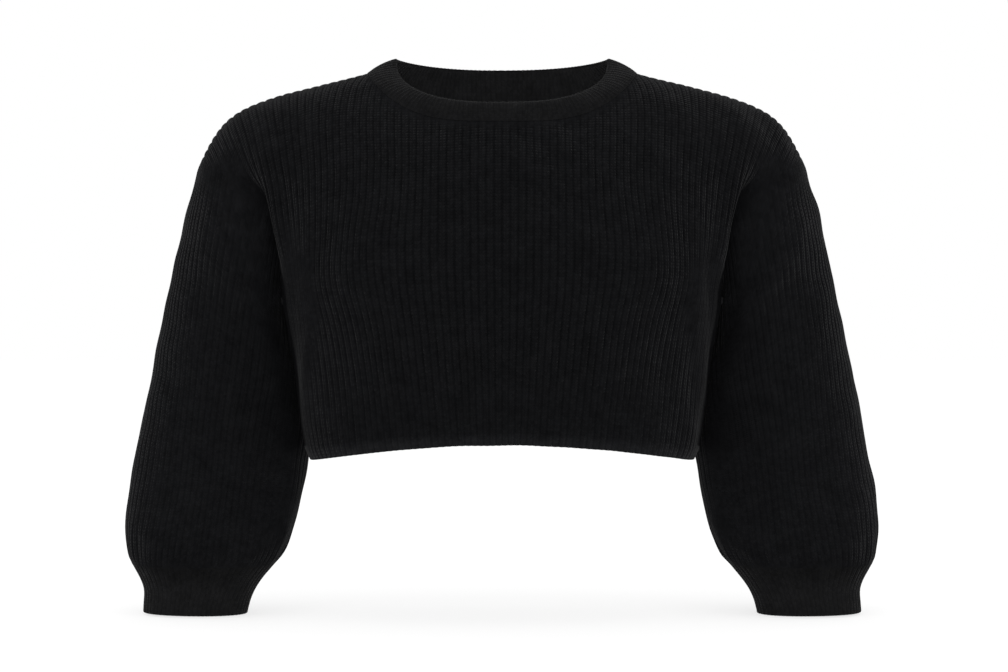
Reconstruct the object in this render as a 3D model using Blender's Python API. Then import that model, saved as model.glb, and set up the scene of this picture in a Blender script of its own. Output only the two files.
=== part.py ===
"""Cropped rib-knit sweater with a crew neck, drop shoulders and full sleeves gathered into
cuffs, filled out as if worn.

Tables are in millimetres, and MM turns them into metres when a mesh is made.
+Z is up, the front faces -Y and the wearer's left is +X. The origin lies in the middle of the
neck opening, 3 mm under the neck points, where the shoulders carry the garment. A "drop" is
measured down from the neck points.

Every piece is an open sheet first: a grid of points on the outside of the cloth. All the
sheets share their seam points, so one set of outward directions gives them matching walls.
"""
import math
from collections import namedtuple

import bpy
import numpy as np

MM = 0.001
COLLECTION = "cropped_knit_sweater"

# ------------------------------------------------------------------ cloth and seams
NECK_POINT_Z = 3.0       # height of the neck points over the origin
WALL = 2.6               # thickness of the wide-rib knit
TRIM_WALL = 3.0          # thickness of the fine rib of neckband and cuffs
SEAM_GAP = 0.3           # clear space between two sewn pieces

# ------------------------------------------------------------------ neck
NECK_SEAM_X = 127.5      # half width of the seam between body and neckband
NECK_SEAM_FRONT = 91.5   # its reach to the front
NECK_SEAM_BACK = 78.0    # and to the back
OPENING_X = 100.0        # half width of the neck opening
OPENING_FRONT = 75.0
OPENING_BACK = 60.0
OPENING_FRONT_DROP = 45.0
OPENING_BACK_DROP = 6.5
OPENING_SQUARE = 2.4     # exponent of the opening's rounded outline, 2 for an ellipse
BAND_CROWN = 2.0         # how far the neckband bulges between seam and opening

# ------------------------------------------------------------------ body
# Rings round the body below the arms. `up` is the share of the way from hem to shoulder.
Ring = namedtuple("Ring", "name up front_drop back_drop side_drop front_y back_y side_x side_y")
BODY_RINGS = (
    Ring("hem", 0.00, 359.0, 371.0, 378.0, -112.0, 78.0, 183.5, -16.0),
    Ring("waist", 0.14, 318.0, 326.0, 331.0, -121.0, 84.0, 191.0, -22.0),
    Ring("ribs", 0.30, 271.0, 276.0, 279.0, -131.0, 91.0, 197.0, -27.0),
    Ring("bust", 0.45, 224.0, 226.0, 225.0, -136.0, 97.0, 206.0, -28.0),
)
FRONT_SQUARE = 2.25      # exponent of the rings' rounded outline, 2 for an ellipse
BACK_SQUARE = 2.0

# The line over the shoulder, from the middle of the neck to the tip where the seams meet.
# Inside the neck seam it only guides the cloth that the neck hole cuts away.
Ridge = namedtuple("Ridge", "x y drop")
SHOULDER_RIDGE = (
    Ridge(0.0, 0.0, -20.0),
    Ridge(64.0, 0.0, -6.0),
    Ridge(127.5, 0.0, 14.0),
    Ridge(180.0, 0.5, 27.3),
    Ridge(225.0, 1.5, 39.5),
    Ridge(262.0, 3.0, 59.5),
    Ridge(287.0, 5.0, 99.0),
)

# How the cloth leaves the bust ring upwards, and how it comes down from the ridge, at four
# shares of the way from the middle of the panel to its edge.
Pull = namedtuple("Pull", "across up_x up_y up_z over_x over_y over_z")
FRONT_PULLS = (
    Pull(0.0, 0.0, -4.0, 104.0, 0.0, -98.0, -62.0),
    Pull(0.4, 0.0, -2.0, 90.0, 0.0, -62.0, -8.0),
    Pull(0.7, 6.0, -8.0, 80.0, 0.0, -58.0, 0.0),
    Pull(1.0, 0.0, -50.0, 75.0, -12.0, -62.0, 0.0),
)
BACK_PULLS = (
    Pull(0.0, 0.0, 13.0, 126.0, 0.0, 80.0, -10.0),
    Pull(0.4, 0.0, 6.0, 100.0, 0.0, 62.0, -4.0),
    Pull(0.7, 6.0, 8.0, 84.0, 0.0, 60.0, 0.0),
    Pull(1.0, 0.0, 56.0, 75.0, -12.0, 66.0, 0.0),
)
PULL_ROWS = (0.60, 0.76, 0.89)      # rows worked out from the pulls between bust and ridge

# The armhole seam, from the underarm round the front to the shoulder tip and back again.
Hole = namedtuple("Hole", "x y drop")
ARMHOLE = (
    Hole(206.0, -28.0, 225.0),
    Hole(207.0, -41.0, 186.0),
    Hole(218.0, -50.0, 138.0),
    Hole(242.0, -48.0, 115.0),
    Hole(272.0, -26.0, 104.0),
    Hole(287.0, 5.0, 99.0),
    Hole(273.0, 38.0, 105.0),
    Hole(243.0, 58.0, 118.0),
    Hole(219.0, 58.0, 142.0),
    Hole(207.0, 31.0, 190.0),
)
ARMHOLE_TIP = 5                     # the row of the table at the shoulder tip
LEAN_WIDTH = 0.5                    # share of the panel's width that leans to the armhole
SEAM_REACH = 0.2                    # share of it that follows the seam's finer turns

# The soft roll of cloth that hangs before the front armhole seam and shades the sleeve.
ROLL_X = 6.0             # how far it stands out to the side
ROLL_Y = -3.0            # and to the front
ROLL_WIDTH = 0.22        # share of the panel's width that it takes
ROLL_TOP = 0.72          # share of the armhole's length at which it ends

# ------------------------------------------------------------------ sleeve and cuff
# Ovals round the arm, each from its outer and inner end. `along` runs from armhole to cuff.
Oval = namedtuple("Oval", "along outer_x outer_drop inner_x inner_drop middle_y depth")
SLEEVE_OVALS = (
    Oval(0.11, 299.8, 139.6, 203.0, 249.0, 20.0, 54.0),
    Oval(0.25, 314.0, 193.0, 190.0, 288.0, 31.0, 53.5),
    Oval(0.43, 329.0, 258.6, 185.0, 330.0, 35.0, 55.0),
    Oval(0.62, 344.2, 335.5, 185.5, 372.0, 36.0, 58.0),
    Oval(0.79, 356.4, 402.7, 191.8, 412.0, 31.0, 59.0),
    Oval(0.91, 360.9, 448.2, 200.6, 450.1, 26.0, 58.0),
    Oval(0.965, 357.8, 470.8, 209.4, 470.8, 23.0, 52.0),
    Oval(1.0, 353.8, 481.0, 217.4, 481.0, 20.0, 45.0),
)
CUFF_OVALS = (
    Oval(0.0, 353.8, 481.0, 217.4, 481.0, 20.0, 45.0),
    Oval(0.25, 347.2, 492.4, 227.5, 492.6, 18.0, 38.5),
    Oval(0.50, 342.2, 504.3, 235.9, 504.8, 16.0, 33.5),
    Oval(0.75, 342.0, 515.8, 240.9, 516.6, 14.5, 31.0),
    Oval(1.0, 342.7, 527.0, 243.7, 528.4, 13.5, 30.0),
)
OVAL_SQUARE = 2.1

# ------------------------------------------------------------------ how finely sheets are cut
ROWS_BELOW = 8           # rows of the body from hem to underarm
ROWS_ABOVE = 10          # rows from underarm to shoulder, and half the points round a sleeve
NECK_COLUMNS = 7         # columns from the middle of a panel to the neck point
SHOULDER_COLUMNS = 10    # columns along a shoulder
SLEEVE_ROWS = 13
CUFF_ROWS = 4
BAND_ROWS = 3
FINE = 240               # points in a curve before it is divided evenly
KEY_STEPS = 30           # points from one key of a curve to the next
WRAP = 3                 # keys of a closed curve repeated past each end, so that it closes smoothly
SHARP_ANGLE = 50.0       # edges sharper than this, in degrees, are shaded sharp
SAME_PLACE = 3           # decimals of a millimetre to which seam points agree
TINY = 1e-9

# ------------------------------------------------------------------ colours
Finish = namedtuple("Finish", "colour roughness")
WIDE_RIB = Finish((0.0060, 0.0061, 0.0070), 0.95)
FINE_RIB = Finish((0.0078, 0.0078, 0.0082), 0.95)

FRONT = -1.0             # the front faces -Y
BACK = 1.0


# ------------------------------------------------------------------ curves
def smooth_through(stations, keys, at):
    """Cubic curve through keys at stations, straight at both ends, read at the places `at`."""
    stations = np.asarray(stations, float)
    keys = np.asarray(keys, float)
    count = len(stations)
    flat = keys.reshape(count, -1)
    step = np.diff(stations)[:, None]
    slope = np.diff(flat, axis=0) / step
    system = np.eye(count)
    bend = np.zeros_like(flat)
    for i in range(1, count - 1):
        system[i, i - 1:i + 2] = step[i - 1, 0], 2 * (step[i - 1, 0] + step[i, 0]), step[i, 0]
        bend[i] = 6 * (slope[i] - slope[i - 1])
    bend = np.linalg.solve(system, bend)
    i = np.clip(np.searchsorted(stations, at) - 1, 0, count - 2)
    into = (np.asarray(at) - stations[i])[:, None]
    width = step[i]
    start = slope[i] - width * (2 * bend[i] + bend[i + 1]) / 6
    rise = (bend[i + 1] - bend[i]) / (6 * width)
    value = flat[i] + into * (start + into * (bend[i] / 2 + into * rise))
    return value.reshape((len(value),) + keys.shape[1:])


def curve_through(keys, closed=False):
    """Fine line through key points, spaced by their distances."""
    keys = np.asarray(keys, float)
    wrap = WRAP if closed else 0
    if closed:
        keys = np.concatenate([keys[-wrap:], keys, keys[:wrap + 1]])
    stations = np.concatenate([[0.0], np.cumsum(np.linalg.norm(np.diff(keys, axis=0), axis=1))])
    last = len(keys) - 1 - wrap
    at = [np.linspace(stations[i], stations[i + 1], KEY_STEPS, endpoint=False)
          for i in range(wrap, last)]
    at = np.append(np.concatenate(at), stations[last])
    return smooth_through(stations, keys, at)


def divide(line, shares):
    """Points at the given shares of a line's length."""
    lengths = np.concatenate([[0.0], np.cumsum(np.linalg.norm(np.diff(line, axis=0), axis=1))])
    at = np.asarray(shares) * lengths[-1]
    return np.stack([np.interp(at, lengths, line[:, axis]) for axis in range(3)], axis=-1)


def height(drop):
    return NECK_POINT_Z - drop


def quarter(square):
    """Sideways and forward shares of a rounded quarter outline, from its middle to its side."""
    angle = np.linspace(0.0, math.pi / 2, FINE)
    return np.sin(angle) ** (2 / square), np.abs(np.cos(angle)) ** (2 / square)


def ease(share):
    share = np.clip(share, 0.0, 1.0)
    return share * share * (3 - 2 * share)


# ------------------------------------------------------------------ body
def ring_line(ring, half, across):
    """Half a body ring, from the middle of the front or back panel to the side."""
    out, forward = quarter(FRONT_SQUARE if half == FRONT else BACK_SQUARE)
    middle_y, drop = (ring.front_y, ring.front_drop) if half == FRONT else (
        ring.back_y, ring.back_drop)
    x = ring.side_x * out
    y = ring.side_y + (middle_y - ring.side_y) * forward
    z = height(drop + (ring.side_drop - drop) * out ** 2)
    return divide(np.stack([x, y, z], axis=-1), across)


def ridge_line(across):
    """The shoulder line; its mirror image is drawn too, so that it is level at the middle."""
    keys = [(row.x, row.y, height(row.drop)) for row in SHOULDER_RIDGE]
    mirror = [(-x, y, z) for x, y, z in keys[:0:-1]]
    line = curve_through(mirror + keys)
    return divide(line[len(line) // 2:], across)


def armhole_line(half, shares):
    """The armhole seam from the underarm to the shoulder tip, round the front or the back."""
    keys = [(row.x, row.y, height(row.drop)) for row in ARMHOLE]
    loop = curve_through(keys, closed=True)
    tip = ARMHOLE_TIP * KEY_STEPS
    branch = loop[:tip + 1] if half == FRONT else loop[tip:][::-1]
    return divide(branch, shares)


def rise_lines(half, across):
    """Rows between the bust ring and the ridge: each column is one cubic bow with two pulls,
    and the outer columns lean over so that the last of them meets the armhole seam."""
    pulls = FRONT_PULLS if half == FRONT else BACK_PULLS
    stations = [row.across ** 2 for row in pulls]       # squared: level at the middle
    up = smooth_through(stations, [(row.up_x, row.up_y, row.up_z) for row in pulls], across ** 2)
    over = smooth_through(
        stations, [(row.over_x, row.over_y, row.over_z) for row in pulls], across ** 2)
    bust = BODY_RINGS[-1]
    start = ring_line(bust, half, across)
    end = ridge_line(across)
    lean = ease((across - 1 + LEAN_WIDTH) / LEAN_WIDTH)[:, None]
    rows = []
    for row_up in PULL_ROWS:
        t = (row_up - bust.up) / (1 - bust.up)
        bow = ((1 - t) ** 3 * start + 3 * t * (1 - t) ** 2 * (start + up)
               + 3 * t * t * (1 - t) * (end + over) + t ** 3 * end)
        rows.append(bow + lean * (armhole_line(half, [t]) - bow[-1]))
    return rows


def body_columns(half, across):
    """Fine columns of half a panel, from hem to ridge: array [height][column][xyz]."""
    def climb(side):
        return [ring_line(ring, side, across) for ring in BODY_RINGS] + rise_lines(side, across)

    ups = [ring.up for ring in BODY_RINGS] + list(PULL_ROWS)
    keys = climb(half) + [ridge_line(across)] + climb(-half)[::-1]
    stations = ups + [1.0] + [2.0 - up for up in reversed(ups)]
    fine_up = np.linspace(0.0, 1.0, FINE)
    columns = smooth_through(stations, keys, fine_up)
    underarm = BODY_RINGS[-1].up
    share = np.clip((fine_up - underarm) / (1 - underarm), 0.0, 1.0)
    edge = columns[:, -1]
    other_edge = smooth_through(stations, [row[-1] for row in keys], 2.0 - fine_up)
    side_seam = (edge + other_edge) / 2
    target = np.where((share > 0)[:, None], armhole_line(half, share), side_seam)
    reach = ease((across - 1 + SEAM_REACH) / SEAM_REACH) ** 1.5
    columns = columns + reach[None, :, None] * (target - edge)[:, None, :]
    beside = np.clip((across - 1 + ROLL_WIDTH) / ROLL_WIDTH, 0.0, 1.0)
    rising = np.clip(share / ROLL_TOP, 0.0, 1.0)
    roll = (np.sin(math.pi * rising)[:, None] * np.sin(math.pi * beside)) ** 2
    return columns + roll[..., None] * (ROLL_X, ROLL_Y, 0.0) * (half == FRONT)


def panel_half(half, across, shares_below, shares_above):
    """Half a body panel, cut off at the neck seam: array [row][column][xyz]."""
    columns = body_columns(half, across)
    underarm = BODY_RINGS[-1].up
    reach = NECK_SEAM_FRONT if half == FRONT else NECK_SEAM_BACK
    inside = (columns[..., 0] / NECK_SEAM_X) ** 2 + (columns[..., 1] / reach) ** 2 - 1
    first = int(underarm * FINE)
    hit = first + np.argmax(inside[first:] < 0, axis=0)
    column = np.arange(len(across))
    before = inside[hit - 1, column]
    after = inside[hit, column]
    cut = np.where(across < neck_share() - TINY,
                   (hit - 1 + before / (before - after)) / (FINE - 1), 1.0)
    top = underarm + (cut[None, :] - underarm) * shares_above[:, None]
    below = np.repeat(underarm * shares_below[:, None], len(across), axis=1)
    up = np.concatenate([below, top]) * (FINE - 1)
    low = np.minimum(up.astype(int), FINE - 2)
    part = (up - low)[..., None]
    points = columns[low, column] * (1 - part) + columns[low + 1, column] * part
    points[len(shares_below):, -1] = armhole_line(half, shares_above)
    return points


def neck_share():
    """Share of the ridge's length at which it crosses the neck seam."""
    shares = np.linspace(0.0, 1.0, FINE * KEY_STEPS)
    return float(np.interp(NECK_SEAM_X, ridge_line(shares)[:, 0], shares))


def column_shares():
    """Places of the columns: closer together where the neck seam turns along them."""
    turn = np.linspace(0.0, math.pi / 2, NECK_COLUMNS + 1)[:-1]
    neck = neck_share()
    return np.concatenate([neck * np.sin(turn), np.linspace(neck, 1.0, SHOULDER_COLUMNS + 1)])


def panel(half):
    """A whole front or back panel, its left half mirrored from its right."""
    right = panel_half(half, column_shares(), np.linspace(0, 1, ROWS_BELOW + 1)[:-1],
                       np.linspace(0, 1, ROWS_ABOVE + 1))
    left = right[:, :0:-1] * (-1.0, 1.0, 1.0)
    return np.concatenate([left, right], axis=1)


# ------------------------------------------------------------------ neckband
def neckband(front, back):
    """Band from the neck seam up to the opening: array [row][place round the neck][xyz]."""
    middle = front.shape[1] // 2
    neck = slice(middle - NECK_COLUMNS, middle + NECK_COLUMNS + 1)
    seam = np.concatenate([front[-1, neck], back[-1, neck][-2:0:-1]])
    angle = np.arcsin(np.clip(seam[:, 0] / NECK_SEAM_X, -1, 1))
    is_front = np.arange(len(seam)) <= 2 * NECK_COLUMNS
    forward = np.cos(angle)
    rounded = forward ** (2 / OPENING_SQUARE)
    x = OPENING_X * np.sign(angle) * np.abs(np.sin(angle)) ** (2 / OPENING_SQUARE)
    y = np.where(is_front, -OPENING_FRONT, OPENING_BACK) * forward
    drop = np.where(is_front, OPENING_FRONT_DROP * rounded, OPENING_BACK_DROP * forward ** 2)
    opening = np.stack([x, y, height(drop)], axis=-1)
    across = np.linspace(0.0, 1.0, BAND_ROWS + 1)[:, None, None]
    out = np.stack([seam[:, 0], seam[:, 1], np.full(len(seam), NECK_SEAM_X)], axis=-1)
    out /= np.linalg.norm(out, axis=1)[:, None]
    return seam + (opening - seam) * across + BAND_CROWN * 4 * across * (1 - across) * out


# ------------------------------------------------------------------ sleeve
def oval_line(oval, shares):
    """An oval round the arm, from its inner end round the front and back to it."""
    out, forward = quarter(OVAL_SQUARE)
    outer = np.array([oval.outer_x, oval.middle_y, height(oval.outer_drop)])
    inner = np.array([oval.inner_x, oval.middle_y, height(oval.inner_drop)])
    middle = (outer + inner) / 2
    reach = (outer - inner) / 2
    along = np.concatenate([-out[::-1], out[1:]])
    depth = np.concatenate([forward[::-1], forward[1:]]) * oval.depth
    half = middle + along[:, None] * reach
    front = divide(half + depth[:, None] * (0.0, -1.0, 0.0), shares)
    back = divide(half + depth[:, None] * (0.0, 1.0, 0.0), shares)
    return np.concatenate([front, back[-2:0:-1]])


def tube(first, ovals, rows):
    """Sheet through a first loop and the ovals that follow it: array [row][place][xyz]."""
    shares = np.linspace(0.0, 1.0, ROWS_ABOVE + 1)
    loops = [] if first is None else [first]
    stations = [] if first is None else [0.0]
    loops += [oval_line(oval, shares) for oval in ovals]
    stations += [oval.along for oval in ovals]
    return smooth_through(stations, loops, np.linspace(0.0, 1.0, rows + 1))


def sleeve():
    shares = np.linspace(0.0, 1.0, ROWS_ABOVE + 1)
    hole = np.concatenate([armhole_line(FRONT, shares), armhole_line(BACK, shares)[-2:0:-1]])
    return tube(hole, SLEEVE_OVALS, SLEEVE_ROWS)


def cuff():
    return tube(None, CUFF_OVALS, CUFF_ROWS)


# ------------------------------------------------------------------ from sheet to solid
Sheet = namedtuple("Sheet", "points closed seams wall finish")


def mirrored(sheet):
    """The same piece for the other arm; its columns run backwards, so it still faces out."""
    return sheet._replace(points=sheet.points[:, ::-1] * (-1.0, 1.0, 1.0))


def corners(sheet):
    """Indices of the four corners of every grid cell, outward side first."""
    rows, columns = sheet.points.shape[:2]
    number = np.arange(rows * columns).reshape(rows, columns)
    if sheet.closed:
        number = np.concatenate([number, number[:, :1]], axis=1)
    return np.stack([number[:-1, :-1], number[:-1, 1:], number[1:, 1:], number[1:, :-1]], -1)


def facing(sheet):
    """Direction out of the cloth at every point of one sheet."""
    points = sheet.points.reshape(-1, 3)
    cells = corners(sheet).reshape(-1, 4)
    a, b, c, d = (points[cells[:, i]] for i in range(4))
    square = np.cross(c - a, d - b)
    total = np.zeros_like(points)
    for i in range(4):
        np.add.at(total, cells[:, i], square)
    return total / np.linalg.norm(total, axis=1)[:, None]


def outward(sheets):
    """Directions out of the cloth, shared along a seam by the sheets that face alike there,
    and the seam points where they don't: in a fold, as under the arm, each keeps its own."""
    own = {name: facing(sheet) for name, sheet in sheets.items()}
    places = {name: list(map(tuple, np.round(sheet.points.reshape(-1, 3), SAME_PLACE) + 0.0))
              for name, sheet in sheets.items()}
    meeting = {}
    for name, keys in places.items():
        for key, direction in zip(keys, own[name]):
            meeting.setdefault(key, []).append(direction)
    directions = {}
    folds = {}
    for name, sheet in sheets.items():
        pairs = list(zip(places[name], own[name]))
        shared = np.array([sum(other for other in meeting[key] if other @ direction > 0)
                           for key, direction in pairs])
        shared /= np.linalg.norm(shared, axis=1)[:, None]
        fold = [any(other @ direction <= 0 for other in meeting[key]) for key, direction in pairs]
        directions[name] = shared.reshape(sheet.points.shape)
        folds[name] = np.array(fold).reshape(sheet.points.shape[:2])
    return directions, folds


def drawn_in(sheet, directions, folds):
    """The sheet with its sewn edges drawn back by half the seam gap, square to the seam; in a
    fold they also move through the cloth, away from the sheet that faces it."""
    rims = {"bottom": (np.s_[0], 1.0), "top": (np.s_[-1], -1.0),
            "left": (np.s_[:, 0], -1.0), "right": (np.s_[:, -1], 1.0)}
    points = sheet.points.copy()
    for edge in sheet.seams:
        rim, side = rims[edge]
        line = sheet.points[rim]
        if sheet.closed:
            along = np.roll(line, -1, axis=0) - np.roll(line, 1, axis=0)
        else:
            along = np.gradient(line, axis=0)
        inward = side * np.cross(directions[rim], along)
        inward /= np.linalg.norm(inward, axis=1)[:, None]
        retreat = inward - np.where(folds[rim][:, None], directions[rim], 0.0)
        points[rim] += retreat * SEAM_GAP / 2
    return points


def split(points, quads):
    """Two triangles for each quad, along its shorter diagonal."""
    a, b, c, d = (points[quads[:, i]] for i in range(4))
    shorter = np.linalg.norm(c - a, axis=1) <= np.linalg.norm(d - b, axis=1) + TINY
    turned = np.where(shorter[:, None], quads, np.roll(quads, -1, axis=1))
    return np.concatenate([turned[:, [0, 1, 2]], turned[:, [0, 2, 3]]])


def wall_faces(sheet, directions):
    """Triangles of the closed wall: outside, inside and the rims between them."""
    outside = sheet.points.reshape(-1, 3)
    points = np.concatenate([outside, outside - directions.reshape(-1, 3) * sheet.wall])
    cells = corners(sheet)
    count = len(outside)
    outer = split(points, cells.reshape(-1, 4))
    inner = outer[:, ::-1] + count
    rims = [cells[0, :, :2], cells[-1, :, 2:]]
    if not sheet.closed:
        rims += [cells[:, 0][:, [3, 0]], cells[:, -1][:, [1, 2]]]
    edges = np.concatenate(rims)
    quads = np.stack([edges[:, 1], edges[:, 0], edges[:, 0] + count, edges[:, 1] + count], -1)
    return np.concatenate([outer, inner, split(points, quads)]).tolist()


def knit_material(name, finish):
    material = bpy.data.materials.new(name)
    material.use_nodes = True
    shader = material.node_tree.nodes["Principled BSDF"]
    shader.inputs["Base Color"].default_value = (*finish.colour, 1.0)
    shader.inputs["Roughness"].default_value = finish.roughness
    shader.inputs["Metallic"].default_value = 0.0
    material.diffuse_color = (*finish.colour, 1.0)
    return material


def solid(name, sheet, directions, folds, collection):
    outside = drawn_in(sheet, directions, folds)
    inside = outside - directions * sheet.wall
    points = np.concatenate([outside.reshape(-1, 3), inside.reshape(-1, 3)]) * MM
    mesh = bpy.data.meshes.new(name)
    mesh.from_pydata(points.tolist(), [], wall_faces(sheet, directions))
    mesh.materials.append(knit_material(name, sheet.finish))
    mesh.shade_smooth()
    mesh.set_sharp_from_angle(angle=math.radians(SHARP_ANGLE))
    obj = bpy.data.objects.new(name, mesh)
    collection.objects.link(obj)
    return obj


def sweater_sheets():
    front = panel(FRONT)
    back = panel(BACK)
    body_seams = ("left", "right", "top")
    sheets = {
        "front": Sheet(front, False, body_seams, WALL, WIDE_RIB),
        "back": Sheet(back[:, ::-1], False, body_seams, WALL, WIDE_RIB),
        "neckband": Sheet(neckband(front, back), True, ("bottom",), TRIM_WALL, FINE_RIB),
        "sleeve_left": Sheet(sleeve()[:, ::-1], True, ("bottom", "top"), WALL, WIDE_RIB),
        "cuff_left": Sheet(cuff()[:, ::-1], True, ("bottom",), TRIM_WALL, FINE_RIB),
    }
    for piece in ("sleeve", "cuff"):
        sheets[piece + "_right"] = mirrored(sheets[piece + "_left"])
    return sheets


def main():
    for obj in list(bpy.data.objects):
        bpy.data.objects.remove(obj)
    collection = bpy.data.collections.new(COLLECTION)
    bpy.context.scene.collection.children.link(collection)
    sheets = sweater_sheets()
    directions, folds = outward(sheets)
    for name, sheet in sheets.items():
        solid(name, sheet, directions[name], folds[name], collection)


main()
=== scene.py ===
# %% [markdown]
# # A cropped rib-knit sweater, filled out as if worn, with nobody in it
#
# The packed model holds the sweater's seven sewn pieces as smooth walls of the right size. This
# lesson gives each piece what makes it a knitted thing: ribs, stitches, sunken seams, soft folds
# and a matt black yarn. Every shape is a surface worked out with numpy from two counts that a
# knitter uses too, ribs across the cloth and courses (rows of stitches) up it.
#
# Sizes are in millimetres in the model's own frame: +Z is up, the front faces -Y and the
# wearer's left arm is at +X. MM turns them into metres when a mesh is made.

# %% Load the fixed frame
import math
from collections import namedtuple
from functools import partial

import bpy
import numpy as np
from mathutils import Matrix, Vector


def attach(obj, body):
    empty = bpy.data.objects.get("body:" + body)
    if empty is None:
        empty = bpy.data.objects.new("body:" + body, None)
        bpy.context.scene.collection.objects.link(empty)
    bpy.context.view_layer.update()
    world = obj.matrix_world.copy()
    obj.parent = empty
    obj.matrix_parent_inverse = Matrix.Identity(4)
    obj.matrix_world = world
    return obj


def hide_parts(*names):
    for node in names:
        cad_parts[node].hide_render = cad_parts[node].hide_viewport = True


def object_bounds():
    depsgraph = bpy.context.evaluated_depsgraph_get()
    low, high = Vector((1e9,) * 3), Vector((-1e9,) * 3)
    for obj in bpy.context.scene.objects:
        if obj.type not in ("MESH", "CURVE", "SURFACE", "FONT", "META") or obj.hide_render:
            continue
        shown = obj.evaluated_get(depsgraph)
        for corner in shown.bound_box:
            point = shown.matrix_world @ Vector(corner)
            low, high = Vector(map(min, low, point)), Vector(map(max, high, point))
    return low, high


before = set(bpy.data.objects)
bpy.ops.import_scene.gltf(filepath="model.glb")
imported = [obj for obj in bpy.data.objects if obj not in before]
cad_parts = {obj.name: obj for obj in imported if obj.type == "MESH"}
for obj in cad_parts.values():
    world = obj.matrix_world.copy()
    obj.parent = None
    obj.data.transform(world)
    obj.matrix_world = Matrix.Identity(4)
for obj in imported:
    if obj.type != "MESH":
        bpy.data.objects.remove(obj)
cad_low, cad_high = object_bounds()
MM = 0.001
print("pieces in the frame:", ", ".join(sorted(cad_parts)))

# %% [markdown]
# ## The cut of the sweater
#
# The tables of this lesson are the ones that the smooth walls were made from, so that the
# knitted surfaces land exactly on them. A "drop" is measured down from the neck points, which
# lie 3 mm over the origin. One could read the points back from the loaded meshes instead, but
# they are too coarse for ribs: a curve through the same few rows can be read as finely as is
# needed.


# %% Tables of the body
def table(kind, rows):
    """Rows of numbers under the column names of their kind."""
    return [kind(*row) for row in rows]


NECK_SEAM_X = 127.5      # half width of the seam between body and neckband
NECK_SEAM_FRONT = 91.5
NECK_SEAM_BACK = 78.0

Ring = namedtuple("Ring", "name up front_drop back_drop side_drop front_y back_y side_x side_y")
BODY_RINGS = table(Ring, (
    ("hem", 0.00, 359, 371, 378, -112, 78, 183.5, -16),
    ("waist", 0.14, 318, 326, 331, -121, 84, 191, -22),
    ("ribs", 0.30, 271, 276, 279, -131, 91, 197, -27),
    ("bust", 0.45, 224, 226, 225, -136, 97, 206, -28),
))
UNDERARM = BODY_RINGS[-1].up
FRONT_SQUARE = 2.25      # exponents of the rings' rounded outlines, 2 for an ellipse
BACK_SQUARE = 2.0

Ridge = namedtuple("Ridge", "x y drop")
SHOULDER_RIDGE = table(Ridge, (
    (0, 0, -20),
    (64, 0, -6),
    (127.5, 0, 14),
    (180, 0.5, 27.3),
    (225, 1.5, 39.5),
    (262, 3, 59.5),
    (287, 5, 99),
))

Pull = namedtuple("Pull", "across up_x up_y up_z over_x over_y over_z")
FRONT_PULLS = table(Pull, (
    (0, 0, -4, 104, 0, -98, -62),
    (0.4, 0, -2, 90, 0, -62, -8),
    (0.7, 6, -8, 80, 0, -58, 0),
    (1, 0, -50, 75, -12, -62, 0),
))
BACK_PULLS = table(Pull, (
    (0, 0, 13, 126, 0, 80, -10),
    (0.4, 0, 6, 100, 0, 62, -4),
    (0.7, 6, 8, 84, 0, 60, 0),
    (1, 0, 56, 75, -12, 66, 0),
))
PULL_ROWS = (0.60, 0.76, 0.89)      # how far up the rows between bust and shoulder lie

# From the underarm up the front, over the shoulder tip and down the back.
Hole = namedtuple("Hole", "x y drop")
ARMHOLE = table(Hole, (
    (206, -28, 225),
    (207, -41, 186),
    (218, -50, 138),
    (242, -48, 115),
    (272, -26, 104),
    (287, 5, 99),
    (273, 38, 105),
    (243, 58, 118),
    (219, 58, 142),
    (207, 31, 190),
))
ARMHOLE_TIP = 5          # its row at the shoulder tip
print("rings, ridge and armhole:", len(BODY_RINGS), len(SHOULDER_RIDGE), len(ARMHOLE))

# %% [markdown]
# ## Curves through a few keys
#
# Cloth has no corners between the rows of a table, so everything is read from cubic curves.
# Blender has its own curve objects for this, but here the same formula has to run on whole
# grids at once, and numpy solves it for every column of the cloth in one go.

# %% Smooth curves
NECK_POINT_Z = 3.0
FINE = 240               # points in a curve before it is divided
KEY_STEPS = 30           # points from one key of a curve to the next
WRAP = 3                 # keys of a closed curve repeated past each end


def smooth_through(stations, keys, at):
    """Natural cubic spline: between two stations the value is a cubic whose second slope runs
    straight from one station's bend to the next, with no bend at the two ends."""
    stations = np.asarray(stations, float)
    keys = np.asarray(keys, float)
    count = len(stations)
    flat = keys.reshape(count, -1)
    step = np.diff(stations)[:, None]
    slope = np.diff(flat, axis=0) / step
    system = np.eye(count)
    bend = np.zeros_like(flat)
    for i in range(1, count - 1):
        system[i, i - 1:i + 2] = step[i - 1, 0], 2 * (step[i - 1, 0] + step[i, 0]), step[i, 0]
        bend[i] = 6 * (slope[i] - slope[i - 1])
    bend = np.linalg.solve(system, bend)
    i = np.clip(np.searchsorted(stations, at) - 1, 0, count - 2)
    into = (np.asarray(at) - stations[i])[:, None]
    width = step[i]
    start = slope[i] - width * (2 * bend[i] + bend[i + 1]) / 6
    rise = (bend[i + 1] - bend[i]) / (6 * width)
    value = flat[i] + into * (start + into * (bend[i] / 2 + into * rise))
    return value.reshape((len(value),) + keys.shape[1:])


def lengths_along(line):
    """Distance of every point of a line from its first point."""
    return np.concatenate([[0.0], np.cumsum(np.linalg.norm(np.diff(line, axis=0), axis=1))])


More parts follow.
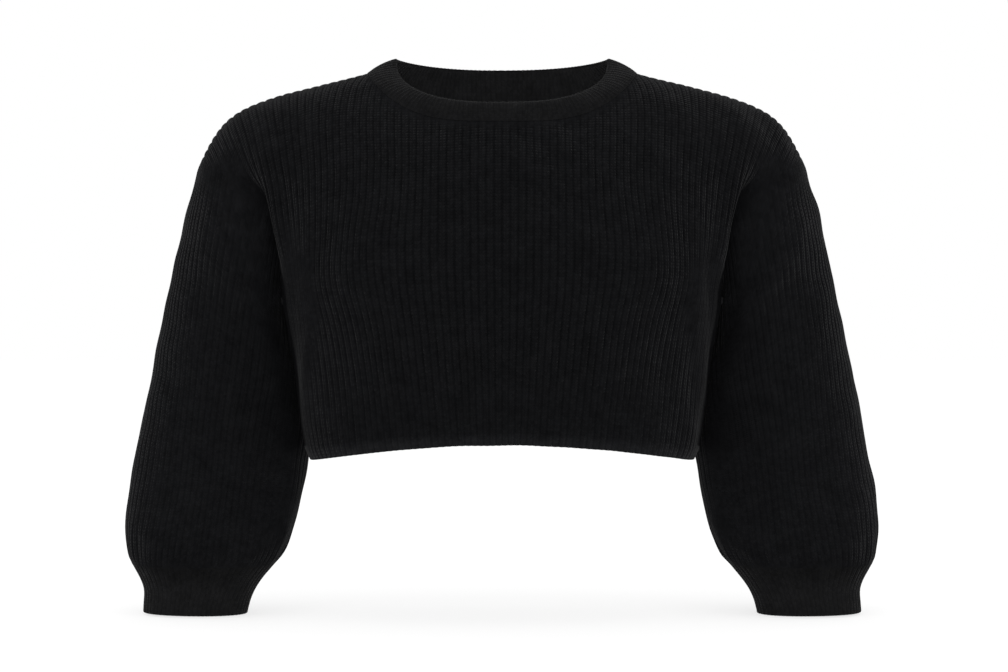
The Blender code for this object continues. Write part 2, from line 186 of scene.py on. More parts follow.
def curve_through(keys, closed=False):
    """Fine line through key points, spaced by their distances."""
    keys = np.asarray(keys, float)
    wrap = WRAP if closed else 0
    if closed:
        keys = np.concatenate([keys[-wrap:], keys, keys[:wrap + 1]])
    stations = lengths_along(keys)
    last = len(keys) - 1 - wrap
    at = [np.linspace(stations[i], stations[i + 1], KEY_STEPS, endpoint=False)
          for i in range(wrap, last)]
    at = np.append(np.concatenate(at), stations[last])
    return smooth_through(stations, keys, at)


def divide(line, shares):
    """Points at the given shares of a line's length, straight between the line's own."""
    lengths = lengths_along(line)
    at = np.asarray(shares) * lengths[-1]
    return np.stack([np.interp(at, lengths, line[:, axis]) for axis in range(3)], axis=-1)


halfway = smooth_through((0, 1, 2), (0, 1, 0), [0.5])[0]
print(f"through 0, 1 and 0, a curve is at {halfway:.2f} halfway to the 1")


# %% Eases, heights and rounded outlines
def ease(share):
    """Goes from 0 to 1 with level ends: 3s^2 - 2s^3."""
    share = np.clip(share, 0.0, 1.0)
    return share * share * (3 - 2 * share)


def height(drop):
    """Height in the frame of a drop from the neck points."""
    return NECK_POINT_Z - drop


def quarter(square):
    """A quarter of a rounded outline |x|^n + |y|^n = 1, from its middle to its side."""
    angle = np.linspace(0.0, math.pi / 2, FINE)
    return np.sin(angle) ** (2 / square), np.abs(np.cos(angle)) ** (2 / square)


print(f"the hem is at {height(BODY_RINGS[0].front_drop):.0f} mm in front and "
      f"{height(BODY_RINGS[0].side_drop):.0f} mm at the sides")

# %% The armhole seam
armhole_loop = curve_through([(row.x, row.y, height(row.drop)) for row in ARMHOLE], closed=True)
print(f"the armhole seam is {lengths_along(armhole_loop)[-1]:.0f} mm round")

# %% [markdown]
# ## The smooth body
#
# Each half panel is first a fan of columns from the hem up over the shoulder. Rings give the
# columns below the arms, a cubic bow with two pulls carries each on to the shoulder line, and
# the outer columns lean over so that the last of them is the armhole seam.

# %% Rings, ridge and armhole as lines
FRONT = -1.0             # the front faces -Y
BACK = 1.0


def ring_line(ring, half, across):
    """Half a body ring: a rounded quarter outline whose drop grows with the square of its x."""
    out, forward = quarter(FRONT_SQUARE if half == FRONT else BACK_SQUARE)
    middle_y, drop = (ring.front_y, ring.front_drop) if half == FRONT else (
        ring.back_y, ring.back_drop)
    x = ring.side_x * out
    y = ring.side_y + (middle_y - ring.side_y) * forward
    z = height(drop + (ring.side_drop - drop) * out ** 2)
    return divide(np.stack([x, y, z], axis=-1), across)


def ridge_line(across):
    """The shoulder line; its mirror image is drawn too, so that it is level at the middle."""
    keys = [(row.x, row.y, height(row.drop)) for row in SHOULDER_RIDGE]
    mirror = [(-x, y, z) for x, y, z in keys[:0:-1]]
    line = curve_through(mirror + keys)
    return divide(line[len(line) // 2:], across)


def armhole_line(half, shares):
    """The armhole seam from the underarm to the shoulder tip, round the front or the back."""
    tip = ARMHOLE_TIP * KEY_STEPS
    branch = armhole_loop[:tip + 1] if half == FRONT else armhole_loop[tip:][::-1]
    return divide(branch, shares)


print(f"the ridge is {lengths_along(ridge_line(np.linspace(0.0, 1.0, FINE)))[-1]:.0f} mm from "
      "the middle to the shoulder tip")

# %% Columns of a body panel
LEAN_WIDTH = 0.5         # the outer share of a panel in which its rows lean to the armhole
SEAM_REACH = 0.2         # and in which its columns are drawn onto the seams
SEAM_PULL = 1.5          # exponent that keeps that pull near the seam
ROLL_X = 6.0             # the roll of cloth that hangs before the front armhole seam
ROLL_Y = -3.0
ROLL_WIDTH = 0.22        # its share of the panel's width
ROLL_TOP = 0.72          # and of the way up from underarm to shoulder


def rise_lines(half, across):
    """Rows between bust and ridge: (1-t)^3 A + 3t(1-t)^2 (A + up) + 3t^2(1-t)(B + over) + t^3 B,
    leaning to the armhole at the outer columns."""
    pulls = FRONT_PULLS if half == FRONT else BACK_PULLS
    stations = [row.across ** 2 for row in pulls]       # squared: level at the middle
    up = smooth_through(stations, [(row.up_x, row.up_y, row.up_z) for row in pulls], across ** 2)
    over = smooth_through(
        stations, [(row.over_x, row.over_y, row.over_z) for row in pulls], across ** 2)
    start = ring_line(BODY_RINGS[-1], half, across)
    end = ridge_line(across)
    lean = ease((across - 1 + LEAN_WIDTH) / LEAN_WIDTH)[:, None]
    rows = []
    for row_up in PULL_ROWS:
        t = (row_up - UNDERARM) / (1 - UNDERARM)
        bow = ((1 - t) ** 3 * start + 3 * t * (1 - t) ** 2 * (start + up)
               + 3 * t * t * (1 - t) * (end + over) + t ** 3 * end)
        rows.append(bow + lean * (armhole_line(half, [t]) - bow[-1]))
    return rows


def body_columns(half, across, fine_up):
    """Columns of half a panel from hem to ridge, as an array [height][column][xyz]. The outer
    ones are drawn onto the side seam and the armhole, and a roll of cloth, sin^2(pi up) *
    sin^2(pi across), stands before the front armhole."""
    def climb(side):
        return [ring_line(ring, side, across) for ring in BODY_RINGS] + rise_lines(side, across)

    ups = [ring.up for ring in BODY_RINGS] + list(PULL_ROWS)
    keys = climb(half) + [ridge_line(across)] + climb(-half)[::-1]
    stations = ups + [1.0] + [2.0 - up for up in reversed(ups)]
    columns = smooth_through(stations, keys, fine_up)
    share = np.clip((fine_up - UNDERARM) / (1 - UNDERARM), 0.0, 1.0)
    edge = columns[:, -1]
    other_edge = smooth_through(stations, [row[-1] for row in keys], 2.0 - fine_up)
    side_seam = (edge + other_edge) / 2
    target = np.where((share > 0)[:, None], armhole_line(half, share), side_seam)
    reach = ease((across - 1 + SEAM_REACH) / SEAM_REACH) ** SEAM_PULL
    columns = columns + reach[None, :, None] * (target - edge)[:, None, :]
    beside = np.clip((across - 1 + ROLL_WIDTH) / ROLL_WIDTH, 0.0, 1.0)
    rising = np.clip(share / ROLL_TOP, 0.0, 1.0)
    roll = (np.sin(math.pi * rising)[:, None] * np.sin(math.pi * beside)) ** 2
    return columns + roll[..., None] * (ROLL_X, ROLL_Y, 0.0) * (half == FRONT)


middle_column = body_columns(FRONT, np.zeros(1), np.linspace(0.0, 1.0, FINE))
print(f"uncut, the front's middle column is {lengths_along(middle_column[:, 0])[-1]:.0f} mm long")

# %% [markdown]
# ## Ribs across the body
#
# A knitter casts on some 75 ribs for each panel and they run straight up. Beside the armhole
# the panel is cut narrower, so some ribs end on that seam and others start again over it on
# the cap of the drop shoulder. Filled out, the cloth stretches most at the bust and least at
# the hem and beside the arms, which spreads and crowds the ribs, as the tables below say.
# Stretching an even grid to the seams would bend all ribs instead. So the columns are laid at
# fixed rib counts, and past the seam they all fall onto its point.

# %% Sizes of the knit
# Distance in millimetres from a panel's middle to some of its ribs, along the cloth.
Spread = namedtuple("Spread", "up rib_8 rib_16 rib_24 rib_32 rib_44")
FRONT_SPREAD = table(Spread, (
    (0.00, 45.5, 95.5, 143, 194, 272),
    (0.14, 48.5, 99.5, 146.5, 199.5, 283),
    (0.30, 52, 105, 152, 204, 292),
    (0.42, 55, 110.5, 160.5, 209, 297),
    (0.50, 57.5, 117, 168, 210, 298.5),
    (0.56, 58, 117.5, 166.5, 213, 297.5),
    (0.62, 58, 114, 164.5, 214.5, 294.5),
    (0.70, 58, 113, 164.5, 215.5, 300),
    (0.80, 58, 115, 167, 222, 313.5),
    (0.90, 57.5, 111, 164.5, 228, 323.5),
    (1.00, 51.5, 99.5, 161, 234, 331),
))
BACK_SPREAD = table(Spread, (
    (0.00, 48, 97, 145, 194, 267),
    (0.45, 57.5, 114.5, 169, 223, 311),
    (0.75, 58, 113, 168, 224, 311),
    (0.90, 57, 109, 164.5, 229, 322),
    (1.00, 51.5, 99.5, 161, 234, 331),
))
SPREAD_RIBS = (0, 8, 16, 24, 32, 44)
RIBS = 44                # from a panel's middle to the shoulder tip
COURSE = 3.04            # height of one course of stitches
RIB_PLACES = (0.0, 0.13, 0.31, 0.5, 0.69, 0.87)     # columns in a rib; the groove is at 0
ROWS_BELOW = 34          # grid rows of the body from hem to underarm
ROWS_ABOVE = 54          # and from underarm to shoulder
CLOSEST = 0.1            # a column nearer to the seam than this many ribs falls onto it
COURSE_COLUMN = 0.6      # the share across a panel at which its courses are counted
print(f"the front is {2 * FRONT_SPREAD[0].rib_32:.0f} mm wide over 64 ribs of the hem")

# %% Ribs in rows
# Points of the grid, their rib and course, the number of each point and whether it is a tube.
Cloth = namedtuple("Cloth", "points ribs courses number closed")


def rib_columns(count, places=RIB_PLACES):
    """Rib counts of the columns, from 0 to count: every rib's places, and the last groove."""
    return np.append((np.arange(count)[:, None] + np.array(places)).ravel(), float(count))


def along_rows(lengths, values, wanted):
    """Reads every row at its own places. The rows are laid end to end on one number line, two
    apart, so that a single interpolation reads them all."""
    start = 2.0 * np.arange(len(lengths))[:, None]
    line = (lengths / lengths[:, -1:] + start).ravel()
    at = (wanted + start).ravel()
    read = [np.interp(at, line, values[..., axis].ravel()) for axis in range(3)]
    return np.stack(read, axis=-1).reshape(wanted.shape + (3,))


def rib_distances(half, up, ribs):
    """Distance of ribs from the middle in each row: cubics up the spread table, then across."""
    spread = FRONT_SPREAD if half == FRONT else BACK_SPREAD
    rows = smooth_through([row.up for row in spread], [(0.0, *row[1:]) for row in spread], up)
    return smooth_through(SPREAD_RIBS, rows.T, ribs).T


def neck_share():
    """Share of the ridge's length at which it crosses the neck seam."""
    shares = np.linspace(0.0, 1.0, FINE * KEY_STEPS)
    return float(np.interp(NECK_SEAM_X, ridge_line(shares)[:, 0], shares))


print(f"the neck seam crosses the ridge at {neck_share():.2f} of its length")


# %% Where the neck cuts the columns
def neck_cut(half, columns, neck_column):
    """Height at which each column crosses the neck seam, (x / NECK_SEAM_X)^2 + (y / reach)^2 = 1,
    straight between its fine points; those from neck_column on run up to the shoulder, at 1."""
    reach = NECK_SEAM_FRONT if half == FRONT else NECK_SEAM_BACK
    inside = (columns[..., 0] / NECK_SEAM_X) ** 2 + (columns[..., 1] / reach) ** 2 - 1
    first = int(UNDERARM * FINE)
    hit = first + np.argmax(inside[first:] < 0, axis=0)
    column = np.arange(columns.shape[1])
    before = inside[hit - 1, column]
    after = inside[hit, column]
    return np.where(column < neck_column, (hit - 1 + before / (before - after)) / (FINE - 1), 1.0)


def read_columns(columns, up):
    """Every column read at its own heights, straight between its fine points."""
    place = up * (FINE - 1)
    low = np.minimum(place.astype(int), FINE - 2)
    part = (place - low)[..., None]
    column = np.arange(columns.shape[1])
    return columns[low, column] * (1 - part) + columns[low + 1, column] * part


print(f"the neck seam cuts the middle column {neck_cut(FRONT, middle_column, 1)[0]:.2f} of the way up")


# %% Front and back
def half_panel(half):
    """Half a panel on columns of fixed rib count, cut off at the neck seam. Columns past the
    armhole or side seam fall onto its point in their row."""
    fine_up = np.linspace(0.0, 1.0, FINE)
    fan = body_columns(half, np.linspace(0.0, 1.0, FINE), fine_up)
    steps = np.linalg.norm(np.diff(fan, axis=1), axis=-1)
    lengths = np.concatenate([np.zeros((FINE, 1)), np.cumsum(steps, axis=1)], axis=1)
    ribs = rib_columns(RIBS)
    neck = neck_share() * lengths[-1, -1]
    neck = float(np.interp(neck, rib_distances(half, [1.0], ribs)[0], ribs))
    neck_column = int(np.argmin(np.abs(ribs - neck)))
    ribs[neck_column] = neck
    distances = rib_distances(half, fine_up, ribs)
    columns = along_rows(lengths, fan, np.minimum(distances / lengths[:, -1:], 1.0))
    shares = np.linspace(0.0, 1.0, ROWS_ABOVE + 1)
    above = UNDERARM + (neck_cut(half, columns, neck_column) - UNDERARM) * shares[:, None]
    below = np.linspace(0.0, UNDERARM, ROWS_BELOW + 1)[:-1, None]
    up = np.concatenate([np.repeat(below, len(ribs), axis=1), above])
    points = read_columns(columns, up)
    points[ROWS_BELOW:, -1] = armhole_line(half, shares)
    fine_seam = [np.interp(row[-1], spread, ribs) for row, spread in zip(lengths, distances)]
    seam_ribs = np.interp(up[:, -1:], fine_up, fine_seam)
    past = ribs > seam_ribs - CLOSEST
    past[:, -1] = True
    points = np.where(past[..., None], points[:, -1:], points)
    spine = lengths_along(fan[:, int(COURSE_COLUMN * FINE)])
    courses = np.interp(up, fine_up, spine) / COURSE
    return points, np.where(past, seam_ribs, ribs), courses, past, neck_column


def panel(half):
    """A whole panel: a half and its mirror image, in one grid that faces out."""
    points, ribs, courses, past, neck_column = half_panel(half)
    pairs = ((points, points * (-1.0, 1.0, 1.0)), (ribs, -ribs), (courses, courses), (past, past))
    turn = slice(None, None, 1 if half == FRONT else -1)
    points, ribs, courses, past = (
        np.concatenate([mirror[:, :0:-1], grid], axis=1)[:, turn] for grid, mirror in pairs)
    number = np.arange(ribs.size).reshape(ribs.shape)
    is_first = np.arange(ribs.shape[1]) < ribs.shape[1] // 2
    number = np.where(past, np.where(is_first, number[:, :1], number[:, -1:]), number)
    return Cloth(points, ribs, courses, number, False), neck_column


front, neck_column = panel(FRONT)
back, _ = panel(BACK)
print(f"ribs a panel: {np.ptp(front.ribs[0]):.0f} at the hem, {np.ptp(front.ribs, 1).min():.0f} "
      f"at the narrowest and {np.ptp(front.ribs[-1]):.0f} at the shoulders")

# %% [markdown]
# ## Sleeves, cuffs and neckband
#
# These are tubes. A tube is a stack of closed lines, each read at the same shares of its
# length, so a rib keeps its place from line to line. A sleeve starts on the armhole seam and
# ends on its cuff's first oval; the neckband starts on the body's neck seam and leans inwards
# to the opening. Extruding a circle would give even tubes, and these are anything but even.

# %% Tables of the sleeves and cuffs
# How far down its tube an oval is, where its outer and inner end are, and how far it reaches to
# the front and the back of its middle.
Oval = namedtuple("Oval", "along outer_x outer_drop inner_x inner_drop middle_y depth")
SLEEVE_OVALS = table(Oval, (
    (0.11, 299.8, 139.6, 203, 249, 20, 54),
    (0.25, 314, 193, 190, 288, 31, 53.5),
    (0.43, 329, 258.6, 185, 330, 35, 55),
    (0.62, 344.2, 335.5, 185.5, 372, 36, 58),
    (0.79, 356.4, 402.7, 191.8, 412, 31, 59),
    (0.91, 360.9, 448.2, 200.6, 450.1, 26, 58),
    (0.965, 357.8, 470.8, 209.4, 470.8, 23, 52),
    (1, 353.8, 481, 217.4, 481, 20, 45),
))
CUFF_OVALS = table(Oval, (
    (0, 353.8, 481, 217.4, 481, 20, 45),
    (0.25, 347.2, 492.4, 227.5, 492.6, 18, 38.5),
    (0.50, 342.2, 504.3, 235.9, 504.8, 16, 33.5),
    (0.75, 342, 515.8, 240.9, 516.6, 14.5, 31),
    (1, 342.7, 527, 243.7, 528.4, 13.5, 30),
))
OVAL_SQUARE = 2.1        # exponent of their outlines

Turn = namedtuple("Turn", "along turn skew")
SLEEVE_TURNS = table(Turn, (     # how far ribs are shifted round, as shares of half a sleeve
    (0.00, 0.080, -0.091),
    (0.11, -0.021, -0.090),
    (0.25, 0.023, -0.040),
    (0.43, 0.029, -0.013),
    (0.62, 0.025, 0.016),
    (0.79, 0.005, 0.022),
    (0.91, 0.002, 0.010),
    (1.00, 0.007, -0.017),
))
NO_TURNS = [Turn(0, 0, 0)]
SLEEVE_RIBS = 68
SLEEVE_ROWS = 84
CUFF_RIBS = 60
CUFF_ROWS = 14
print("ovals:", len(SLEEVE_OVALS), "sleeve", len(CUFF_OVALS), "cuff")


# %% Tubes
def oval_line(oval, shares):
    """An oval round the arm, from its inner end round the front and back to it."""
    out, forward = quarter(OVAL_SQUARE)
    outer = np.array([oval.outer_x, oval.middle_y, height(oval.outer_drop)])
    inner = np.array([oval.inner_x, oval.middle_y, height(oval.inner_drop)])
    middle = (outer + inner) / 2
    reach = (outer - inner) / 2
    along = np.concatenate([-out[::-1], out[1:]])
    depth = np.concatenate([forward[::-1], forward[1:]]) * oval.depth
    half = middle + along[:, None] * reach
    front_half = divide(half + depth[:, None] * (0.0, -1.0, 0.0), shares)
    back_half = divide(half + depth[:, None] * (0.0, 1.0, 0.0), shares)
    return np.concatenate([front_half, back_half[-2:0:-1]])


def tube(lines, turns, ribs, rows):
    """Cloth through closed lines, each given by its place along the tube and a function of
    shares, from the inner side of the arm over the front. Both halves of a line are read at
    share + turn * sin(pi share) + skew * sin(2 pi share), so that a sleeve's ribs can run on
    straight from the armhole."""
    half_ribs = rib_columns(ribs // 2)
    share = half_ribs / half_ribs[-1]
    stations = [station for station, _ in lines]
    places, *shifts = np.array(turns).T
    turn, skew = (np.interp(stations, places, shift)[:, None] for shift in shifts)
    shares = share + turn * np.sin(math.pi * share) + skew * np.sin(2 * math.pi * share)
    loops = [line(row) for (_, line), row in zip(lines, shares)]
    points = smooth_through(stations, loops, np.linspace(0.0, 1.0, rows + 1))
    counted = np.concatenate([half_ribs, ribs - half_ribs[-2:0:-1]])
    outside = int(np.argmin(np.abs(counted - ribs / 2)))
    courses = -lengths_along(points[:, outside]) / COURSE
    return round_cloth(points, counted, ribs, courses)


def round_cloth(points, counted, ribs, courses):
    """A closed cloth of equal rows; the last column of its counts repeats the first, one whole
    turn on."""
    counted = np.append(counted, float(ribs))
    grid = (len(points), len(counted))
    number = np.arange(points[..., 0].size).reshape(points.shape[:2])
    return Cloth(points, np.broadcast_to(counted, grid), np.broadcast_to(courses[:, None], grid),
                 number, True)


def turned(cloth):
    """The same closed cloth with its columns the other way round."""
    points = np.concatenate([cloth.points[:, :1], cloth.points[:, :0:-1]], axis=1)
    return cloth._replace(points=points, ribs=cloth.ribs[:, ::-1])


def mirrored(cloth):
    """The same piece for the other arm, still facing out."""
    return turned(cloth._replace(points=cloth.points * (-1.0, 1.0, 1.0)))


cuff_end = oval_line(CUFF_OVALS[-1], np.linspace(0.0, 1.0, FINE))
print(f"the cuff's end is {lengths_along(cuff_end)[-1]:.0f} mm round")


# %% Sleeve and cuff
def armhole_start(shares):
    """The armhole seam as a closed line, up the front and down the back."""
    return np.concatenate([armhole_line(FRONT, shares), armhole_line(BACK, shares)[-2:0:-1]])


def arm_tube(start, ovals, turns, ribs, rows):
    """A tube through a table's ovals, facing out."""
    lines = start + [(oval.along, partial(oval_line, oval)) for oval in ovals]
    return turned(tube(lines, turns, ribs, rows))


sleeve = arm_tube([(0.0, armhole_start)], SLEEVE_OVALS, SLEEVE_TURNS, SLEEVE_RIBS, SLEEVE_ROWS)
cuff = arm_tube([], CUFF_OVALS, NO_TURNS, CUFF_RIBS, CUFF_ROWS)
print(f"a sleeve is {-sleeve.courses.min():.0f} courses long and a cuff {-cuff.courses.min():.0f}")

# %% Neckband and all seven pieces
OPENING_X = 100.0        # half width of the neck opening
OPENING_FRONT = 75.0
OPENING_BACK = 60.0
OPENING_FRONT_DROP = 45.0
OPENING_BACK_DROP = 6.5
OPENING_SQUARE = 2.4     # exponent of the opening's rounded outline, 2 for an ellipse
BAND_CROWN = 2.0         # how far the neckband bulges between seam and opening
BAND_RIBS = 144
BAND_PLACES = (0.0, 0.25, 0.5, 0.75)
BAND_ROWS = 8


def neckband():
    """Band from the neck seam up to the opening. A point at the angle a round the seam rises to
    x = OPENING_X sin(a)^(2/n), y = reach cos(a), bulging by 4 s (1 - s) on the way."""
    middle = front.points.shape[1] // 2
    neck = slice(middle - neck_column, middle + neck_column + 1)
    rim = np.concatenate([front.points[-1, neck], back.points[-1, neck][1:]])
    counted = rib_columns(BAND_RIBS, BAND_PLACES)
    seam = divide(rim, counted[:-1] / BAND_RIBS)
    is_front = np.arange(len(seam)) < len(seam) * (
        lengths_along(front.points[-1, neck])[-1] / lengths_along(rim)[-1])
    angle = np.arcsin(np.clip(seam[:, 0] / NECK_SEAM_X, -1, 1))
    forward = np.cos(angle)
    rounded = forward ** (2 / OPENING_SQUARE)
    x = OPENING_X * np.sign(angle) * np.abs(np.sin(angle)) ** (2 / OPENING_SQUARE)
    y = np.where(is_front, -OPENING_FRONT, OPENING_BACK) * forward
    drop = np.where(is_front, OPENING_FRONT_DROP * rounded, OPENING_BACK_DROP * forward ** 2)
    opening = np.stack([x, y, height(drop)], axis=-1)
    share = np.linspace(0.0, 1.0, BAND_ROWS + 1)
    across = share[:, None, None]
    out = np.stack([seam[:, 0], seam[:, 1], np.full(len(seam), NECK_SEAM_X)], axis=-1)
    out /= np.linalg.norm(out, axis=1)[:, None]
    points = seam + (opening - seam) * across + BAND_CROWN * 4 * across * (1 - across) * out
    courses = lengths_along(points[:, 0]) / COURSE
    return round_cloth(points, counted[:-1], BAND_RIBS, courses)


pieces = {"front": front, "back": back, "neckband": neckband(), "sleeve_left": sleeve,
          "cuff_left": cuff, "sleeve_right": mirrored(sleeve), "cuff_right": mirrored(cuff)}
for name, cloth in pieces.items():
    print(f"{name}: {cloth.points.shape[0]} rows of {cloth.points.shape[1]} points")

# %% [markdown]
# ## Which way is out
#
# Ribs, folds and the wall's thickness all move points straight out of the cloth. Where two
# pieces are sewn together, they share one direction, so that their walls meet on the inside
# as well. Under the arm, body and sleeve face each other, and there each keeps its own.

# %% Directions out of the cloth
MEETING = 2.6            # rim points of two pieces that are this close are sewn together
PANELS = ("front", "back")
SEWN = {"front": ("left", "right", "top"), "back": ("left", "right", "top"),
        "neckband": ("bottom",), "sleeve": ("bottom", "top"), "cuff": ("bottom",)}
RIMS = {"bottom": (np.s_[0], 1.0), "top": (np.s_[-1], -1.0),
        "left": (np.s_[:, 0], -1.0), "right": (np.s_[:, -1], 1.0)}


def kind_of(name):
    """A piece's name without its side."""
    return name.split("_")[0]


def wrapped(cloth, grid):
    """The grid with its first column repeated at the end, on a closed cloth."""
    return np.concatenate([grid, grid[:, :1]], axis=1) if cloth.closed else grid


def cells_of(grid):
    """The four corners of every cell of a grid."""
    return np.stack([grid[:-1, :-1], grid[:-1, 1:], grid[1:, 1:], grid[1:, :-1]], axis=2)


def facing(cloth):
    """Direction out of the cloth at each point: the sum of its cells' cross products."""
    cells = cells_of(wrapped(cloth, cloth.number)).reshape(-1, 4)
    points = cloth.points.reshape(-1, 3)
    a, b, c, d = (points[cells[:, i]] for i in range(4))
    square = np.cross(c - a, d - b)
    total = np.zeros_like(points)
    for i in range(4):
        np.add.at(total, cells[:, i], square)
    total = total[cloth.number]
    return total / np.linalg.norm(total, axis=-1, keepdims=True)


def shared_directions(pieces):
    """Own directions, with the mean of both at sewn rims whose directions agree."""
    own = {name: facing(cloth) for name, cloth in pieces.items()}
    shared = {name: grid.copy() for name, grid in own.items()}
    rims = [(name, rim) for name in pieces for rim in SEWN[kind_of(name)]]
    for name, rim in rims:
        where = RIMS[rim][0]
        here = pieces[name].points[where]
        total = own[name][where].copy()
        for other_name, other_rim in rims:
            if other_name == name:
                continue
            there = pieces[other_name].points[RIMS[other_rim][0]]
            apart = np.linalg.norm(here[:, None] - there[None], axis=-1)
            nearest = apart.argmin(axis=1)
            direction = own[other_name][RIMS[other_rim][0]][nearest]
            meets = (apart.min(axis=1) < MEETING) & (np.sum(direction * own[name][where], -1) > 0)
            total += direction * meets[:, None]
        shared[name][where] = total / np.linalg.norm(total, axis=-1, keepdims=True)
    for name, cloth in pieces.items():
        shared[name] = shared[name].reshape(-1, 3)[cloth.number]
    return shared


directions = shared_directions(pieces)
print("directions worked out for", sum(grid[..., 0].size for grid in directions.values()), "points")

# %% [markdown]
# ## Soft folds, placed one by one
#
# Knitted cloth this thick has few folds, and all are soft. Each row below is one trough or
# ridge: where it starts and ends, how wide it is and how far it stands out or sinks in. Places
# are counted as a knitter would, in ribs across and courses up: on a panel from the middle of
# the hem, on a sleeve from the underarm round over the front, and down from the armhole. A
# cloth simulation would even them out, and would not put them where the cloth is known to pull.

# %% Folds of front and back
Fold = namedtuple("Fold", "rib course to_rib to_course width rise")
FRONT_FOLDS = table(Fold, (
    (-27, 50, -32.6, 22, 6.5, 1.3),
    (-31, 58, -34.5, 24, 9, -1.2),
    (-35.5, 62, -36, 14, 8, -1.8),
    (-27.5, 74, -28.5, 58, 12, 1.4),
    (-25, 60, -19, 38, 12, -1),
    (27, 53, 32.2, 18, 7, 1.2),
    (31, 60, 34, 26, 9, -1.3),
    (35.5, 62, 36, 16, 8, -1.8),
    (27.5, 72, 28.5, 54, 11, 1.4),
    (24, 58, 18, 36, 13, -0.9),
    (-33, 92, -24, 84, 14, -0.8),
    (33.5, 94, 25, 82, 13, -0.9),
    (-12, 26, -11, 0, 16, -0.9),
    (17, 20, 18, 0, 14, -0.8),
))
BACK_FOLDS = table(Fold, (
    (-33, 60, -27, 16, 13, 2.2),
    (-29, 66, -21, 32, 15, -2.4),
    (-23, 58, -15, 14, 17, 1.4),
    (34, 62, 28, 22, 13, 2),
    (28, 58, 22, 22, 15, -2.2),
    (21, 64, 13, 26, 17, 1.6),
    (-27, 100, -11, 84, 18, -1.8),
    (27, 96, 9, 86, 18, -1.6),
    (-6, 34, -4, 0, 20, -1.6),
    (5, 38, 6, 2, 18, 1.2),
    (-16, 26, -17, 0, 15, 1.3),
    (15, 20, 14, 0, 16, -1.4),
))
print("folds:", len(FRONT_FOLDS), "front", len(BACK_FOLDS), "back")

# %% Folds of the sleeves
SLEEVE_FOLDS = table(Fold, (
    (18, 2, 13, -12, 10, -1.5),
    (12, -9, 7, -50, 12, -1.5),
    (8, -46, 5, -86, 11, -1.6),
    (23, -12, 22.5, -24, 7, 1),
    (8.5, -36, 18, -58, 16, 1.2),
    (6, -58, 19, -72, 17, -1.6),
    (28, -34, 20.5, -56, 17, 0.9),
    (29, -62, 19, -84, 18, -1.2),
    (13.5, -92, 23.5, -108, 16, -1.2),
    (33, 4, 31, -30, 22, 1),
    (63, -12, 54.5, -38, 12, -2.6),
    (64, -36, 52, -54, 15, 2),
    (65, -54, 51, -68, 14, -2.4),
    (44.5, -48, 53, -76, 18, 1.4),
    (40.5, -74, 52, -98, 19, -1.6),
    (61.5, -82, 53.5, -104, 16, 1.3),
))
print("folds:", len(SLEEVE_FOLDS), "on each sleeve")

# %% Flat places
# Where the cloth is drawn so tight or rubbed so much that its ribs hardly show. The last number
# is the share of their height that is lost.
FRONT_FLATS = table(Fold, (
    (-31, 66, -31.5, 36, 27, 2.2),
    (-33.5, 40, -37, -6, 25, 2.2),
    (-41, 120, -36.5, 102, 9, 1),
    (31, 65, 31.5, 34, 27, 2.2),
    (33.5, 42, 37, -4, 24, 2.2),
    (41, 120, 36.5, 102, 9, 1),
))
SLEEVE_FLATS = table(Fold, (
    (19, 4, 14, -12, 15, 1.3),
    (14, -8, 8.5, -52, 15, 1.3),
    (8.5, -46, 4.5, -96, 14, 1),
    (33, -3, 20, -3, 14, 1.1),
    (31, -8, 30.5, -30, 24, 0.8),
    (32, -24, 31.5, -116, 20, 0.6),
    (3, -98, 5, -130, 26, 1),
))
FOLDS = {"front": FRONT_FOLDS, "back": BACK_FOLDS, "sleeve": SLEEVE_FOLDS}
FLATS = {"front": FRONT_FLATS, "sleeve": SLEEVE_FLATS}
print("flat places:", ", ".join(f"{len(rows)} {kind}" for kind, rows in FLATS.items()))

# %% Heights of the folds
RIB_WIDTH = 6.6          # usual width of a rib, in millimetres
FOLD_END = 0.06          # share of a fold's length at which it stops growing shallower
FOLD_FULLNESS = 0.7      # exponent below 1: a fold keeps its height for most of its length


def fold_rises(folds, ribs, courses, closed):
    """Each fold lifts the cloth by rise * exp(-(d / width)^2) * sin(pi t)^FOLD_FULLNESS, with d
    the distance from its line and t the share of the way along it."""
    total = np.zeros(ribs.shape)
    round_tube = SLEEVE_RIBS * RIB_WIDTH
    for fold in folds:
        run = np.array([(fold.to_rib - fold.rib) * RIB_WIDTH,
                        (fold.to_course - fold.course) * COURSE])
        x = (ribs - fold.rib) * RIB_WIDTH
        y = (courses - fold.course) * COURSE
        if closed:
            x = (x - run[0] / 2 + round_tube / 2) % round_tube + run[0] / 2 - round_tube / 2
        t = (x * run[0] + y * run[1]) / (run @ run)
        reach = np.hypot(*run)
        beyond = np.maximum(np.abs(t - 0.5) - 0.5, 0.0) * reach
        aside = (x * run[1] - y * run[0]) / reach
        soft_end = np.sin(math.pi * np.clip(t, FOLD_END, 1 - FOLD_END)) ** FOLD_FULLNESS
        total += fold.rise * soft_end * np.exp(-(aside ** 2 + beyond ** 2) / fold.width ** 2)
    return total


peak = fold_rises([Fold(0, 0, 10, 0, 12, 2)], np.array([5.0]), np.array([0.0]), False)
print(f"a fold with a rise of 2 lifts its middle by {peak[0]:.1f} mm")

# %% [markdown]
# ## What folds leave uneven
#
# Between its folds a knit still swells here and there, and no two ribs stand equally tall. Where
# body and sleeve press together, their seam lies deep in a crease. The sleeve's fullness is
# gathered into the cuff, which shows as short pleats. Swells and pleats are sums of waves: a
# noise texture would do too, but waves are easy to give a size in millimetres.

